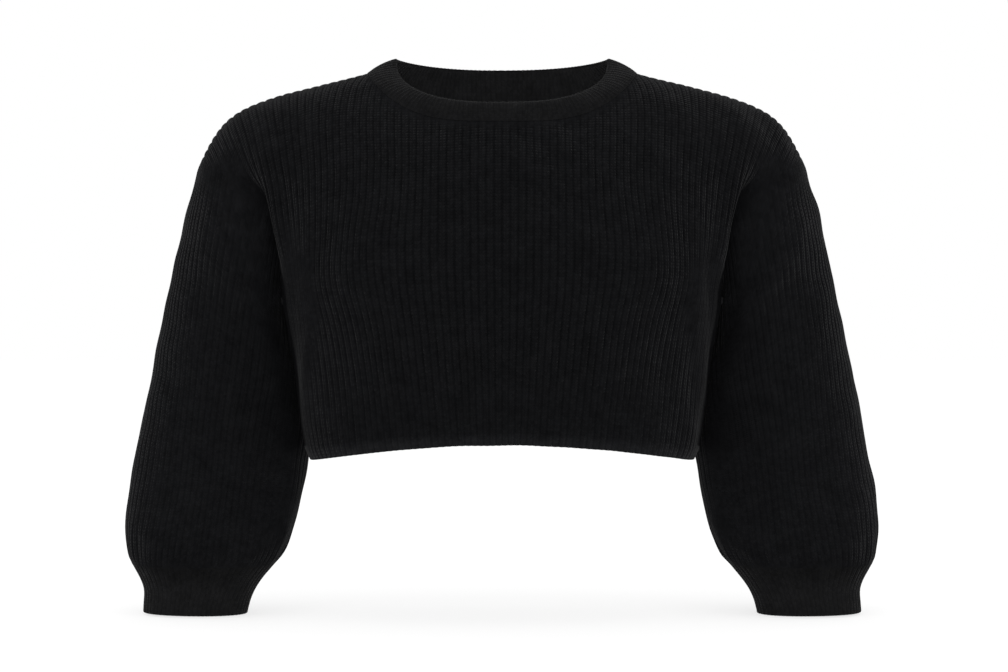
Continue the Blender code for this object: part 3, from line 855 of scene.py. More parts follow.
# %% Swells, crease and gathers
WAVES = 7
WAVE_SIZES = (0.6, 1.7)  # shortest and longest wave, as shares of the usual one
CREASE_TOP = -98.0       # the crease fades out above this height, at the shoulder
CREASE_TOP_FADE = 30.0
CREASE_FOOT = -226.0     # and below this, at the underarm
CREASE_FOOT_FADE = 10.0
CREASE_BACK = -5.0       # and behind this y, under the arm
CREASE_BACK_FADE = 25.0
GATHER_FROM = 20.0       # courses above the cuff
GATHER_RISE = 1.5        # millimetres at the cuff
GATHER_COUNTS = (13, 19, 23)     # pleats round the sleeve, as waves that beat together
GATHER_SHIFT = 1.7       # starts each of these waves at another place


def wander(x, y, size, seed):
    """An uneven swell between about -1 and 1: WAVES sines of mixed length and heading."""
    draw = np.random.default_rng(seed)
    total = np.zeros(np.shape(x))
    for _ in range(WAVES):
        heading = draw.uniform(0.0, 2 * math.pi)
        wave = 2 * math.pi / (size * draw.uniform(*WAVE_SIZES))
        shift = draw.uniform(0.0, 2 * math.pi)
        total += np.sin(wave * (x * math.cos(heading) + y * math.sin(heading)) + shift)
    return total / (WAVES / 2)


def crease(width, points, apart):
    """How far a point is in the crease before the arm: exp(-(d / width)^2) beside its seam,
    fading out at the shoulder, at the underarm and behind it."""
    _, y, z = np.moveaxis(points, -1, 0)
    here = (ease((CREASE_TOP - z) / CREASE_TOP_FADE) * ease((z - CREASE_FOOT) / CREASE_FOOT_FADE)
            * ease((CREASE_BACK - y) / CREASE_BACK_FADE))
    return here * np.exp(-(apart / width) ** 2)


def gathers(ribs, courses):
    """Short pleats above the cuff: beating waves round the sleeve that grow towards it."""
    angle = 2 * math.pi * ribs / SLEEVE_RIBS
    waves = sum(np.sin(count * angle + GATHER_SHIFT * count) for count in GATHER_COUNTS)
    grows = ease(1 - (courses - courses.min()) / GATHER_FROM)
    return GATHER_RISE * waves / len(GATHER_COUNTS) * grows


print(f"swells of {WAVES} waves, pleats of {len(GATHER_COUNTS)}")

# %% [markdown]
# ## How far from the seams
#
# Much depends on how near a seam is: ribs flatten there and the cloth swells a little beside
# it. Blender could mark this with vertex groups, but a distance in millimetres says more.

# %% Distance from the seams
RIM_POINTS = 500         # points of a rim's line that distances are measured to


def distance_to(points, line):
    """Distance of every point from the nearest point of a line."""
    flat = points.reshape(-1, 3)
    square = (flat ** 2).sum(1)[:, None] + (line ** 2).sum(1)[None] - 2 * flat @ line.T
    return np.sqrt(np.maximum(square.min(axis=1), 0.0)).reshape(points.shape[:-1])


def from_seams(name, cloth):
    """Distance of every point from the piece's nearest sewn rim, measured to a fine line, and
    from the nearest that breaks the ribs: they run on over the shoulder seams."""
    fine = np.linspace(0.0, 1.0, RIM_POINTS)
    lines = [divide(cloth.points[RIMS[rim][0]], fine) for rim in SEWN[kind_of(name)]]
    breaks = lines.copy()
    if kind_of(name) in PANELS:
        breaks[-1] = lines[-1][np.abs(lines[-1][:, 0]) < NECK_SEAM_X]
    return [np.min([distance_to(cloth.points, line) for line in chosen], axis=0)
            for chosen in (lines, breaks)]


seam_distances = {name: from_seams(name, cloth) for name, cloth in pieces.items()}
for name, (apart, _) in seam_distances.items():
    print(f"{name}: at most {apart.max():.0f} mm from a seam")

# %% [markdown]
# ## Relief of the knit
#
# A rib is a round ridge between two narrow grooves, and the inside of the cloth has the same
# ribs half a rib on. They flatten towards a panel's sides, hem and shoulders, where the cloth
# is drawn tight. All of this is height over the smooth cloth, so it simply adds up. The same
# function says how pale the yarn is, with painted shade in the crease and under the arm and
# painted light on the hem, since both follow the seams.

# %% Sizes of the relief
# Height of the crowns and depth of the grooves outside, thickness of the core, depth of the
# ribs inside, height of the swells, how much the ribs' painted light and shade show in the colour,
# and how pale the yarn is on the seams and elsewhere.
Knit = namedtuple("Knit", "rise depth core inner_depth swell shown seam_pale pale")
KNITS = {
    "front": Knit(0.35, 1.25, 1.7, 1.2, 0.7, 1.0, 0.0, 0.0),
    "back": Knit(0.35, 1.25, 1.7, 1.2, 0.7, 1.0, 0.0, 0.0),
    "sleeve": Knit(0.25, 0.65, 1.9, 1.0, 0.8, 0.55, 0.0, 0.05),
    "cuff": Knit(0.25, 0.45, 2.1, 0.6, 0.2, 0.6, -0.08, 0.16),
    "neckband": Knit(0.90, 0.40, 2.1, 0.6, 0.2, 0.6, 0.0, 0.0),
}
RIB_SHAPE = 2.4          # exponent of the ridge's round top
SEAM_SWELL = 0.1         # the swell beside a seam: how tall, how far from it and how wide
SEAM_SWELL_AT = 7.0
SEAM_SWELL_WIDTH = 3.5
SEAM_RIBS = 0.15         # share of their height that ribs keep on the seam
SEAM_FADE = 10.0         # and how far from it they have all of it, which is nearer on trims
TRIM_SEAM_FADE = SEAM_FADE / 3
SWELL_FADE = 15.0        # swells, folds and gathers reach theirs this far from a seam
FOLD_FADE = 6.0
GATHER_FADE = 10.0
SEAM_PALE_OVER = 26.0    # and the yarn its own paleness
SWELL_SIZE = 60.0        # usual length of the swells
UNEVEN = 0.2             # how much the ribs' height varies
UNEVEN_RIB = 30.0        # from rib to rib as much as this many millimetres up a rib
UNEVEN_SIZE = 40.0
UNEVEN_SEED = 20
LEAST_SHOWN = 0.12       # share of their height that flats leave
HEM_ROLL = 2.5           # the hem curls in by this much
HEM_ROLL_WIDTH = 13.0
HEM_PAINTED_LIGHT = 0.45         # painted light: how far the hem is made paler, towards the painted light of the inner face
HEM_PAINTED_LIGHT_SOON = 1.5     # it is as pale as that before the curl is complete
CREASE_SINK = 3.0        # the front armhole seam lies this deep in the crease before the arm
CREASE_WIDTHS = {"front": 4.5, "sleeve": 11.0}
CREASE_PAINTED_SHADE = 0.22     # painted shade: the yarn is made darker in the crease, as a paleness below 0
CREASE_SHADE_WIDTH = 15.0

# Areas of a panel. They start at a rib, counted from the middle, and below a course. The change
# is complete after so many ribs and courses; a negative number of courses counts up, not down.
Area = namedtuple("Area", "change rib over_ribs course over_courses")
EVERY_RIB = (-1, 1)      # complete in the middle already
FLATTER = table(Area, (                 # where ribs lose a share of their height
    (0.20, 8, 14, 92, 24),              # towards the sides, below the shoulders
    (0.35, *EVERY_RIB, 32, 24),         # towards the hem
    (0.25, *EVERY_RIB, 94, -18),        # over the shoulders
))
ARM_SHADE = Area(0.25, 31.5, 5, 66, 16)     # painted shade: the yarn is made darker where the body turns in under the arm
print("knits:", ", ".join(KNITS))


# %% Relief
def ridge(ribs):
    """1 on the crown of each rib and 0 in the grooves: 1 - |2 f - 1|^RIB_SHAPE."""
    return 1.0 - np.abs(2.0 * (ribs % 1.0) - 1.0) ** RIB_SHAPE


def change_in(area, ribs, courses):
    """An area's change, eased in across the ribs and down or up the courses."""
    return (area.change * ease((np.abs(ribs) - area.rib) / area.over_ribs)
            * ease((area.course - courses) / area.over_courses))


def relief(name, cloth):
    """Heights of the outer and inner face over the smooth cloth, how much its ribs show, and how pale
    its outer face is, with painted shade and light. Outer: rise - depth (1 - ridge) shown + swells
    + folds; the inner face follows the swells at the depth of the core, with its own ridges half a
    rib on."""
    kind = kind_of(name)
    knit = KNITS[kind]
    columns = cloth.points.shape[1]
    ribs, courses = cloth.ribs[:, :columns], cloth.courses[:, :columns]
    seed = sorted(pieces).index(name)
    apart, from_break = seam_distances[name]
    fade = SEAM_FADE if kind in FOLDS else TRIM_SEAM_FADE
    shown = SEAM_RIBS + (1 - SEAM_RIBS) * ease(from_break / fade)
    x, y, z = np.moveaxis(cloth.points, -1, 0)
    swell = knit.swell * wander(x + y, z, SWELL_SIZE, seed) * ease(apart / SWELL_FADE)
    folds = fold_rises(FOLDS.get(kind, ()), ribs, courses, cloth.closed)
    flats = fold_rises(FLATS.get(kind, ()), ribs, courses, cloth.closed)
    swell = swell + folds * ease(apart / FOLD_FADE)
    pale = knit.seam_pale + (knit.pale - knit.seam_pale) * ease(apart / SEAM_PALE_OVER)
    if kind in CREASE_WIDTHS:
        swell = swell - CREASE_SINK * crease(CREASE_WIDTHS[kind], cloth.points, apart)
        # Painted shade: the yarn is darkened along the crease before the arm
        pale = pale - CREASE_PAINTED_SHADE * crease(CREASE_SHADE_WIDTH, cloth.points, apart)
    if kind in PANELS:
        curl = np.clip(1 - courses * COURSE / HEM_ROLL_WIDTH, 0.0, 1.0)
        swell = swell - HEM_ROLL * curl ** 2
        # Painted light on the hem, and painted shade where the body turns in under the arm
        pale = pale + HEM_PAINTED_LIGHT * ease(HEM_PAINTED_LIGHT_SOON * curl) - change_in(ARM_SHADE, ribs, courses)
        for area in FLATTER:
            shown = shown * (1 - change_in(area, ribs, courses))
    if kind == "sleeve":
        swell = swell + gathers(ribs, courses) * ease(apart / GATHER_FADE)
    seam = SEAM_SWELL * np.exp(-((apart - SEAM_SWELL_AT) / SEAM_SWELL_WIDTH) ** 2)
    shown = shown * np.clip(1 - flats, LEAST_SHOWN, 1.0)
    uneven = wander(UNEVEN_RIB * ribs, COURSE * courses, UNEVEN_SIZE, seed + UNEVEN_SEED)
    shown = shown * (1 + UNEVEN * uneven)
    outer = knit.rise - knit.depth * (1 - ridge(ribs)) * shown + seam + swell
    inner = swell - knit.core - knit.inner_depth * ridge(ribs + 0.5) * shown
    return outer, inner, shown * knit.shown, pale


reliefs = {name: relief(name, cloth) for name, cloth in pieces.items()}
for name, (outer, *_) in reliefs.items():
    print(f"{name}: outer face {outer.min():.1f} to {outer.max():.1f} mm over the smooth cloth")

# %% [markdown]
# ## From grids to closed walls
#
# A wall is one long loop of rows: up the outer face, over the top rim, down the inner face and
# under the bottom rim. Free rims (hem, cuff ends, neck opening) get three more rows on a half
# circle, because a knitted edge is round. Sewn rims stay flat. The cloth's own map places every
# corner by rib and course, half a rib on for the inner face. A Solidify modifier would make
# the wall too, but with the same ribs on both faces.

# %% Both faces, with laps
SEAM_LAP = 0.3           # sewn pieces run this far into each other, so that no light gets through
HEM_LONGER = 1.5         # the hem hangs this far below the smooth one
FREE = {"front": ("bottom",), "back": ("bottom",), "neckband": ("top",), "sleeve": (),
        "cuff": ("top",)}
ENDS = {"bottom": (0, 1), "top": (-1, -2)}      # a rim's row and the one beside it


def lapped(name, cloth, out):
    """Sewn rims run past the seam by half the lap, square to it."""
    points = cloth.points.copy()
    for rim in SEWN[kind_of(name)]:
        where, side = RIMS[rim]
        _, first, same = np.unique(cloth.number[where], return_index=True, return_inverse=True)
        line = cloth.points[where][first]       # each point once
        if cloth.closed:
            along = np.roll(line, -1, axis=0) - np.roll(line, 1, axis=0)
        else:
            along = np.gradient(line, axis=0)[same]
        inward = side * np.cross(out[where], along)
        inward /= np.linalg.norm(inward, axis=1)[:, None]
        points[where] -= inward * SEAM_LAP / 2
    return points.reshape(-1, 3)[cloth.number]


def both_faces(name, cloth):
    """Points of the outer and the inner face: cloth + out * height. At a free rim both stop
    short by the radius of the round edge, half the distance between them."""
    out = directions[name]
    base = lapped(name, cloth, out)
    outer, inner = (base + out * rise[..., None] for rise in reliefs[name][:2])
    for rim in FREE[kind_of(name)]:
        end, beside = ENDS[rim]
        way = base[end] - base[beside]
        way /= np.linalg.norm(way, axis=-1, keepdims=True)
        radius = np.linalg.norm(outer[end] - inner[end], axis=-1, keepdims=True) / 2
        radius -= HEM_LONGER if rim == "bottom" else 0.0
        outer[end] -= way * radius
        inner[end] -= way * radius
    return outer, inner


print("free rims:", ", ".join(f"{kind} {rim}" for kind, rims in FREE.items() for rim in rims))

# %% Round rims
RIM_ANGLES = np.radians([35.0, 90.0, 145.0])
RIM_RADIUS = 1.3         # usual radius of a round rim, by which its courses are counted on
MARKS = ("rib", "course", "pale", "shown")      # what each corner of a face carries
RIB_MARK, COURSE_MARK, PALE_MARK, SHOWN_MARK = range(len(MARKS))


def round_rim(cloth, rim, outer, inner, marks):
    """Points, numbers and marks of the rows on a free rim's half circle: middle + r (n cos a +
    t sin a), with t the way out of the cloth, in the order in which the wall's loop meets them."""
    end, beside = ENDS[rim]
    middle = (outer[end] + inner[end]) / 2
    arm = (outer[end] - inner[end]) / 2
    radius = np.linalg.norm(arm, axis=-1, keepdims=True)
    way = outer[end] - outer[beside]
    way -= arm * np.sum(way * arm, -1, keepdims=True) / radius ** 2
    way /= np.linalg.norm(way, axis=-1, keepdims=True)
    angles = RIM_ANGLES if rim == "top" else RIM_ANGLES[::-1]
    points = np.stack([middle + arm * math.cos(a) + way * radius * math.sin(a) for a in angles])
    _, first, same = np.unique(cloth.number[end], return_index=True, return_inverse=True)
    row_starts = 2 * cloth.number.size + np.arange(len(angles)) * len(middle)
    number = wrapped(cloth, first[same] + row_starts[:, None])
    rim_marks = np.repeat(marks[end][None], len(angles), axis=0)
    step = np.sign(marks[end, 0, COURSE_MARK] - marks[beside, 0, COURSE_MARK])
    rim_marks[..., COURSE_MARK] += (step * angles * RIM_RADIUS / COURSE)[:, None]
    return points.reshape(-1, 3), number, rim_marks


print("marks at each corner:", ", ".join(MARKS))

# %% Closed walls
INNER_SHIFT = 0.5        # ribs
# Painted light: the inner face's yarn is made paler, standing in for light that reaches inside through
# the openings
INNER_PAINTED_LIGHT = {"front": 0.6, "back": 0.6, "sleeve": 0.6, "cuff": 1.0, "neckband": 1.0}


def loop_cells(grid):
    """The cells of a grid whose last row joins its first."""
    return cells_of(np.concatenate([grid, grid[:1]]))


def side_cells(cloth, loop):
    """Cells that close the two edges of an open cloth, whose round rim is the last in its loop:
    quads from face to face, and a fan over the rim's end, of triangles with two corners on one
    point."""
    size = cloth.number.size
    cells = []
    for column, turn in ((0, 1), (-1, -1)):
        edge = cloth.number[:, column]
        strip = np.stack([edge[:-1], edge[1:], edge[1:] + size, edge[:-1] + size], -1)
        cap = np.append(loop[-1 - len(RIM_ANGLES):, column], edge[0])
        fan = np.stack([np.full(len(cap) - 2, cap[0]), cap[1:-1], cap[2:], cap[2:]], -1)
        cells += [strip[:, ::turn], fan[:, ::turn]]
    return np.concatenate(cells)


def wall(name, cloth):
    """Points of a piece's closed wall, the numbers of each cell's corners and their marks."""
    outer, inner = both_faces(name, cloth)
    shown, pale = (wrapped(cloth, grid) for grid in reliefs[name][2:])
    number = wrapped(cloth, cloth.number)
    marks = np.stack([cloth.ribs, cloth.courses, pale, shown], axis=-1)
    inner_marks = marks[::-1].copy()
    # painted light on the inner face
    inner_marks[..., PALE_MARK] = INNER_PAINTED_LIGHT[kind_of(name)]
    points = [outer.reshape(-1, 3), inner.reshape(-1, 3)]
    strips = {"outer": (number, marks), "inner": (number[::-1] + cloth.number.size, inner_marks)}
    for rim in FREE[kind_of(name)]:
        rim_points, *strips[rim] = round_rim(cloth, rim, outer, inner, marks)
        points.append(rim_points)
    parts = [part for part in ("outer", "top", "inner", "bottom") if part in strips]
    loop, loop_marks = (np.concatenate([strips[part][i] for part in parts]) for i in (0, 1))
    is_inner = np.repeat([part == "inner" for part in parts], [len(strips[i][0]) for i in parts])
    cells = loop_cells(loop).reshape(-1, 4)
    marks = loop_cells(loop_marks)
    marks[is_inner & np.roll(is_inner, -1), ..., RIB_MARK] += INNER_SHIFT
    marks = marks.reshape(-1, 4, len(MARKS))
    if not cloth.closed:
        sides = side_cells(cloth, loop)
        cells = np.concatenate([cells, sides])
        marks = np.concatenate([marks, np.zeros((len(sides), 4, len(MARKS)))])
    return np.concatenate(points), cells, marks


print("the inner ribs are", INNER_SHIFT, "of a rib on")


# %% Faces
def faces_of(cells, marks):
    """Whole cells stay quads; a cell with two corners on one point becomes a triangle, and one
    with more is dropped."""
    same = cells == np.roll(cells, -1, axis=1)
    repeats = same.sum(axis=1)
    quads = repeats == 0
    faces = cells[quads].tolist()
    corner_marks = [marks[quads].reshape(-1, len(MARKS))]
    for corner in range(4):
        rows = (repeats == 1) & same[:, corner]
        keep = [i for i in range(4) if i != corner]
        faces += cells[rows][:, keep].tolist()
        corner_marks.append(marks[rows][:, keep].reshape(-1, len(MARKS)))
    return faces, np.concatenate(corner_marks)


doubled = np.array([[0, 1, 2, 2]])
print("a cell with a doubled corner becomes", faces_of(doubled, np.zeros((1, 4, len(MARKS))))[0])


# %% Meshes
def sharpen_seams(mesh, name, cloth, used):
    """The wall turns sharply at its sewn rims, on both faces, so shading breaks there."""
    number = cloth.number
    rims = np.concatenate([np.ravel(number[RIMS[rim][0]]) for rim in SEWN[kind_of(name)]])
    rims = np.concatenate([rims, rims + number.size])
    edges = np.empty(2 * len(mesh.edges), np.int32)
    mesh.edges.foreach_get("vertices", edges)
    sharp = np.isin(used[edges], rims).reshape(-1, 2).all(axis=1)
    mesh.attributes.new("sharp_edge", "BOOLEAN", "EDGE").data.foreach_set("value", sharp)


def build(name, cloth, material):
    """The piece's mesh of the points that its faces use, with rib and course as its map and the
    other marks as attributes."""
    points, cells, marks = wall(name, cloth)
    faces, marks = faces_of(cells, marks)
    corners = np.concatenate([np.ravel(face) for face in faces])
    used, corners = np.unique(corners, return_inverse=True)
    faces = np.split(corners, np.cumsum([len(face) for face in faces])[:-1])
    mesh = bpy.data.meshes.new(name)
    mesh.from_pydata((points[used] * MM).tolist(), [], [face.tolist() for face in faces])
    layer = mesh.uv_layers.new(name="knit")
    layer.uv.foreach_set("vector", marks[:, :PALE_MARK].astype(np.float32).ravel())
    for mark in (PALE_MARK, SHOWN_MARK):
        layer = mesh.attributes.new(MARKS[mark], "FLOAT", "CORNER")
        layer.data.foreach_set("value", marks[:, mark].astype(np.float32))
    mesh.materials.append(material)
    mesh.shade_smooth()
    sharpen_seams(mesh, name, cloth, used)
    obj = bpy.data.objects.new(name + "_knit", mesh)
    bpy.context.scene.collection.objects.link(obj)
    return obj


print("meshes to build:", len(pieces))

# %% [markdown]
# ## Shader maths as plain expressions
#
# A knit is a repeating pattern, so its colour and bump are formulas on the rib and course
# counts. Placed by hand in the node editor they would be dozens of boxes; this small class
# wraps a socket so that an expression adds the nodes itself.


# %% A socket that does sums
class Amount:
    """A number that varies over the surface."""

    def __init__(self, graph, socket):
        self.graph = graph
        self.socket = socket

    def maths(self, operation, *values):
        """A Math node on some amounts or numbers."""
        node = self.graph.node("ShaderNodeMath", {"operation": operation}, dict(enumerate(values)))
        return Amount(self.graph, node.outputs[0])

    def __add__(self, other):
        return self.maths("ADD", self, other)

    def __mul__(self, other):
        return self.maths("MULTIPLY", self, other)

    def __sub__(self, other):
        return self.maths("SUBTRACT", self, other)

    def __rsub__(self, other):
        return self.maths("SUBTRACT", other, self)

    def __pow__(self, other):
        return self.maths("POWER", self, other)

    __radd__ = __add__
    __rmul__ = __mul__

    def fraction(self):
        return self.maths("FRACT", self)

    def whole(self):
        return self.maths("FLOOR", self)

    def size(self):
        return self.maths("ABSOLUTE", self)

    def sine(self):
        return self.maths("SINE", self)

    def spread(self, low, high):
        """low where it is 0 and high where it is 1, in a straight line."""
        return low + (high - low) * self

    def between(self, low, high):
        """0 below low, 1 above high and smooth in between."""
        node = self.graph.node("ShaderNodeMapRange", {"interpolation_type": "SMOOTHSTEP"},
                               {"Value": self, "From Min": low, "From Max": high})
        return Amount(self.graph, node.outputs["Result"])


print("an amount has", sum(callable(part) for part in vars(Amount).values()), "methods")

# %% A material and its nodes
NOISE_ROUGHNESS = 0.6    # how strong the finer layers of a noise are


class Graph:
    """A new material and the one method that makes any node in it."""

    def __init__(self, name):
        self.material = bpy.data.materials.new(name)
        self.material.use_nodes = True
        self.tree = self.material.node_tree
        self.shader = self.tree.nodes["Principled BSDF"]

    def node(self, kind, settings, inputs):
        """A node of a kind, with its settings and then the values or links of its sockets."""
        node = self.tree.nodes.new(kind)
        for key, value in settings.items():
            setattr(node, key, value)
        self.fill(node, inputs)
        return node

    def fill(self, node, inputs):
        """Gives a node's sockets numbers, colours or links."""
        for key, value in inputs.items():
            if isinstance(value, Amount):
                value = value.socket
            if isinstance(value, bpy.types.NodeSocket):
                self.tree.links.new(value, node.inputs[key])
            else:
                node.inputs[key].default_value = value

    def noise(self, vector, scale, detail):
        """A cloudy pattern with a mean of about 0.5; scale is in clouds to the metre."""
        node = self.node("ShaderNodeTexNoise", {}, {
            "Vector": vector, "Scale": scale, "Detail": detail, "Roughness": NOISE_ROUGHNESS})
        return Amount(self, node.outputs[0])


print("materials in the file so far:", len(bpy.data.materials))

# %% [markdown]
# ## The yarn
#
# Black wool is not quite black: crowns of ribs catch more light than grooves, each stitch's two
# legs lie in a V, and loose fibres lighten the cloth where it turns away. Over the relief's own
# shading, the grooves and the low parts of the legs are painted darker, as painted shade. The
# stitches are bump, since each is only 3 mm high. The fibres are sheen, one number for each yarn.
# Where the yarn is darkened, mostly by painted shade in the crease and under the arm, a second
# shader without sheen is mixed in, so the sheen is taken out there as painted shade too, since
# the share of a mix can vary over the cloth where the sheen itself can't.

# %% Sizes of the yarn
Yarn = namedtuple("Yarn", "crown groove bump sheen stitches")
# The groove's colour is darker than the crown's: painted shade in the grooves
YARNS = {
    "wide_rib_knit": Yarn((0.0068, 0.0069, 0.0075), (0.0048, 0.0049, 0.0054), 0.0007, 0.075, 1.0),
    "fine_rib_knit": Yarn((0.0078, 0.0078, 0.0081), (0.0062, 0.0062, 0.0065), 0.0004, 0.085, 1.25),
}
LEG_SLANT = 0.45         # courses that a stitch's leg rises from the crown to the groove
LEG_ROUND = 0.7          # exponent below 1: a leg is fuller than a sine
# These are places from the crown, 0, to the groove, 1.
LEG_STARTS = (0.0, 0.22)
LEG_ENDS = (0.62, 0.98)
PURL = (0.7, 1.0)        # the low bumps of the stitches behind
SHADED = (0.35, 1.0)     # the painted light on the crown fades out over these, into the groove's painted shade
# Factors of painted light, height, tone and roughness, where their cause is 0 and where it is 1.
STITCH_LIGHT = (0.72, 1.0)
CHANCE_HEIGHT = (0.85, 1.15)
CHANCE_TONE = (0.75, 1.0)
PATCH_TONE = (0.65, 1.35)
FIBRE_TONE = (0.8, 1.2)
FIBRE_ROUGHNESS = (0.82, 0.94)
SHOWN_HEIGHT = (0.15, 1.0)
PURL_HEIGHT = 0.35
FIBRE_HEIGHT = 0.35
FIBRES = (1400.0, 3.0)   # scale and detail of the noise
PATCHES = (60.0, 2.0)
MEAN_LIGHT = 0.55        # where the ribs don't show, the colour is about halfway
PALE_GAIN = 1.5       # how strongly the pale mark changes the yarn: its own tone, and the painted light and shade in it
TONE = 1.1               # brightness of all the yarn
SHEEN_OFF_IN_SHADE = (0.04, 0.22)   # between these darknesses, mostly painted shade, the sheen is mixed out, as painted shade too
SHEEN_ROUGHNESS = 0.3
print("yarns:", ", ".join(YARNS))


# %% Stitches
def stitches(graph, per_course):
    """The pattern of the stitches. Aside is |2 rib - 1|, 0 on a crown and 1 in a groove; a leg is
    |sin(pi course)| on courses that lean with it; each leg has its own random chance."""
    knit_map = graph.node("ShaderNodeUVMap", {"uv_map": "knit"}, {}).outputs["UV"]
    split = graph.node("ShaderNodeSeparateXYZ", {}, {"Vector": knit_map})
    ribs = Amount(graph, split.outputs["X"])
    courses = Amount(graph, split.outputs["Y"]) * per_course
    aside = (ribs.fraction() * 2.0 - 1.0).size()
    lean = courses - aside * LEG_SLANT
    leg = (lean * math.pi).sine().size()
    leg_number = (ribs * 2.0).whole()
    cell = graph.node("ShaderNodeCombineXYZ", {}, {"X": leg_number, "Y": lean.whole()})
    chance = graph.node("ShaderNodeTexWhiteNoise", {"noise_dimensions": "2D"},
                        {"Vector": cell.outputs[0]})
    chance = Amount(graph, chance.outputs["Value"])
    within = aside.between(*LEG_STARTS) * (1.0 - aside.between(*LEG_ENDS))
    purl = aside.between(*PURL) * ((courses + 0.5) * math.pi).sine().size()
    high = within * leg ** LEG_ROUND * chance.spread(*CHANCE_HEIGHT) + purl * PURL_HEIGHT
    return aside, leg, chance, high


print("a leg's slant is", LEG_SLANT, "of a course")


# %% Knit materials
def mark(graph, name):
    """A mark of the cloth that varies over it, such as how pale it is."""
    node = graph.node("ShaderNodeAttribute", {"attribute_name": name}, {})
    return Amount(graph, node.outputs["Fac"])


def knit_material(name, yarn):
    """Colour from groove to crown by the painted light on it, times a tone that varies from stitch to
    stitch and patch to patch; bump from stitches and fibres; no sheen where the yarn is darkened."""
    graph = Graph(name)
    aside, leg, chance, high = stitches(graph, yarn.stitches)
    pale, shown = mark(graph, "pale"), mark(graph, "shown")
    place = graph.node("ShaderNodeTexCoord", {}, {}).outputs["Object"]
    fibres = graph.noise(place, *FIBRES)
    patches = graph.noise(place, *PATCHES)
    # Painted light and shade: crowns and the tops of the legs lighter, grooves darker
    light = (1.0 - aside.between(*SHADED)) * leg.spread(*STITCH_LIGHT)
    light = MEAN_LIGHT + (light - MEAN_LIGHT) * shown
    colour = graph.node("ShaderNodeMix", {"data_type": "RGBA"},
                        {"Factor": light, "A": (*yarn.groove, 1.0), "B": (*yarn.crown, 1.0)})
    # The pale mark carries the yarn's own tone and painted light and shade
    tone = (chance.spread(*CHANCE_TONE) * patches.spread(*PATCH_TONE)
            * fibres.spread(*FIBRE_TONE) * (1.0 + PALE_GAIN * pale) * TONE)
    toned = graph.node("ShaderNodeVectorMath", {"operation": "SCALE"},
                       {"Vector": colour.outputs["Result"], "Scale": tone})
    high = high * shown.spread(*SHOWN_HEIGHT) + fibres * FIBRE_HEIGHT
    bump = graph.node("ShaderNodeBump", {},
                      {"Strength": 1.0, "Distance": yarn.bump, "Height": high})
    surface = {"Base Color": toned.outputs[0], "Roughness": fibres.spread(*FIBRE_ROUGHNESS),
               "Normal": bump.outputs[0], "Metallic": 0.0, "Specular IOR Level": 0.0}
    graph.fill(graph.shader, {**surface, "Sheen Weight": yarn.sheen,
                              "Sheen Roughness": SHEEN_ROUGHNESS})
    # Painted shade: where the yarn is darkened, a shader without sheen is mixed in
    sheenless = graph.node("ShaderNodeBsdfPrincipled", {}, {**surface, "Sheen Weight": 0.0})
    mixed = graph.node("ShaderNodeMixShader", {}, {
        0: (0.0 - pale).between(*SHEEN_OFF_IN_SHADE), 1: graph.shader.outputs[0], 2: sheenless.outputs[0]})
    graph.fill(graph.tree.nodes["Material Output"], {"Surface": mixed.outputs[0]})
    return graph.material


materials = {name: knit_material(name, yarn) for name, yarn in YARNS.items()}
print("materials:", ", ".join(materials))

# %% [markdown]
# ## Put the pieces in place
#
# Every piece stands for one node of the packed model and rides on its only body. The table of
# cuts gives each piece's yarn and the size that it was cut to before it was sewn.

# %% Pieces
Cut = namedtuple("Cut", "slot width length area")
CUTS = {
    "front": Cut("wide_rib_knit", 0.56, 0.40, 0.178),
    "back": Cut("wide_rib_knit", 0.56, 0.40, 0.178),
    "sleeve": Cut("wide_rib_knit", 0.44, 0.37, 0.135),
    "cuff": Cut("fine_rib_knit", 0.28, 0.05, 0.0137),
    "neckband": Cut("fine_rib_knit", 0.63, 0.034, 0.0205),
}
for name, cloth in pieces.items():
    cut = CUTS[kind_of(name)]
    piece = build(name, cloth, materials[cut.slot])
    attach(piece, "root")
    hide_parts(name)
    print(f"{piece.name}: {sum(len(face.vertices) - 2 for face in piece.data.polygons)} triangles")

# %% [markdown]
# ## Floor, light and camera
#
# Black cloth needs a lot of light from all sides. The world is an even white, a wide soft light
# overhead lifts the shoulders, and a pale floor lies just under the cuffs. The camera is level
# and looks straight at the front; its view is shifted, not turned, so upright lines stay upright.

# %% Floor and world
FLOOR_GAP = 0.0006       # metres under the lowest cuff
FLOOR_HALF = 6.0
FLOOR_GREY = 0.28
FLOOR_GLOW = 0.73
WHITE = (1.0, 1.0, 1.0, 1.0)
corners = np.array([(-1.0, -1.0), (1.0, -1.0), (1.0, 1.0), (-1.0, 1.0)]) * FLOOR_HALF
floor_z = cad_low.z - FLOOR_GAP
floor_mesh = bpy.data.meshes.new("floor")
floor_mesh.from_pydata([(x, y, floor_z) for x, y in corners.tolist()], [], [(0, 1, 2, 3)])
floor = bpy.data.objects.new("floor", floor_mesh)
bpy.context.scene.collection.objects.link(floor)
floor_graph = Graph("pale_floor")
floor_graph.fill(floor_graph.shader, {
    "Base Color": (FLOOR_GREY, FLOOR_GREY, FLOOR_GREY, 1.0), "Roughness": 1.0,
    "Specular IOR Level": 0.0, "Emission Color": WHITE, "Emission Strength": FLOOR_GLOW})
floor_mesh.materials.append(floor_graph.material)

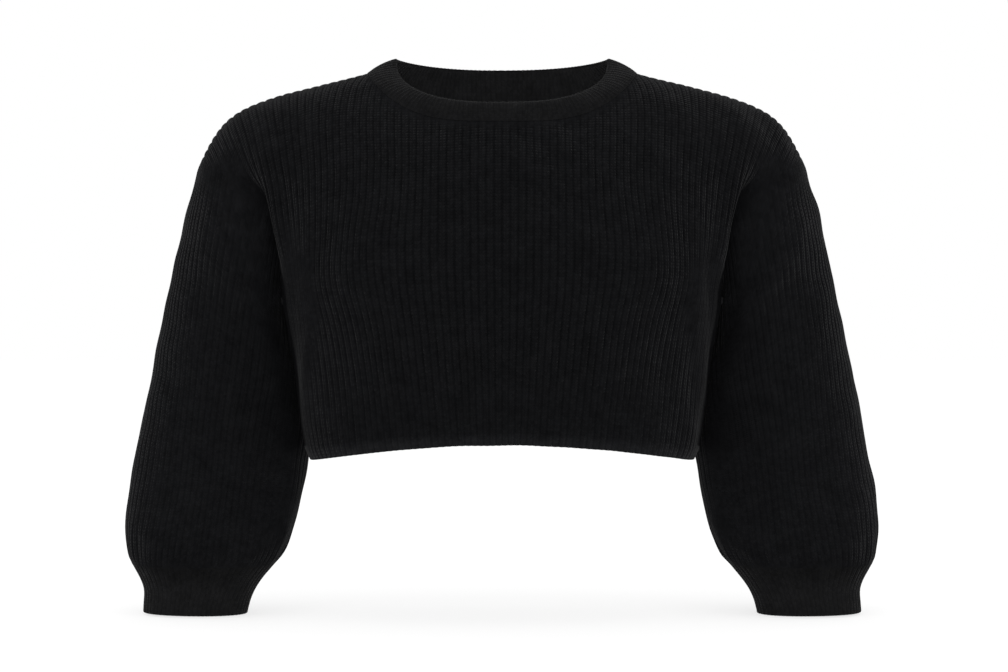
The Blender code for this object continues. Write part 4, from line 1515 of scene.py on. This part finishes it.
world = bpy.data.worlds.new("studio")
bpy.context.scene.world = world
world.use_nodes = True
world.node_tree.nodes["Background"].inputs["Color"].default_value = WHITE
world.node_tree.nodes["Background"].inputs["Strength"].default_value = 1.0
print(f"floor at {floor_z:.4f} m")

# %% Lamps
Lamp = namedtuple("Lamp", "name place width height watts")
LAMPS = table(Lamp, (
    ("left_panel", (-2.2, -0.3, 0.4), 1.6, 1.8, 8.0),
    ("right_panel", (2.2, -0.3, 0.4), 1.6, 1.8, 10.0),
    ("front_panel", (0.0, -4.2, 0.2), 3.0, 2.0, 18.0),
    ("top_panel", (0.0, -0.4, 2.3), 2.4, 1.6, 16.0),
))
middle = (cad_low + cad_high) / 2
for row in LAMPS:
    light = bpy.data.lights.new(row.name, "AREA")
    light.shape = "RECTANGLE"
    light.size = row.width
    light.size_y = row.height
    light.energy = row.watts
    lamp = bpy.data.objects.new(row.name, light)
    lamp.location = row.place
    lamp.rotation_euler = (middle - lamp.location).to_track_quat("-Z", "Y").to_euler()
    bpy.context.scene.collection.objects.link(lamp)
print("lamps:", ", ".join(row.name for row in LAMPS))

# %% Camera
CAMERA_BACK = 2.6
CAMERA_DROP = 181.5      # how far the level camera is below the neck points
LENS = 97.7
SENSOR = 36.0
IMAGE = (1008, 672)
AXIS_PIXEL = (502.1, 250.0)      # where the sweater's axis and the camera's level fall
camera = bpy.data.cameras.new("camera")
camera.lens = LENS
camera.sensor_width = SENSOR
camera.shift_x = (IMAGE[0] / 2 - AXIS_PIXEL[0]) / IMAGE[0]
camera.shift_y = (AXIS_PIXEL[1] - IMAGE[1] / 2) / IMAGE[0]
viewer = bpy.data.objects.new("camera", camera)
viewer.location = (0.0, -CAMERA_BACK, height(CAMERA_DROP) * MM)
viewer.rotation_euler = (math.pi / 2, 0.0, 0.0)
bpy.context.scene.collection.objects.link(viewer)
bpy.context.scene.camera = viewer
bpy.context.scene.view_settings.view_transform = "Standard"
print(f"camera {CAMERA_BACK} m back and level")

# %% [markdown]
# ## Size
#
# The knitted sweater has to fit the box of the smooth one, give or take the height of a rib.
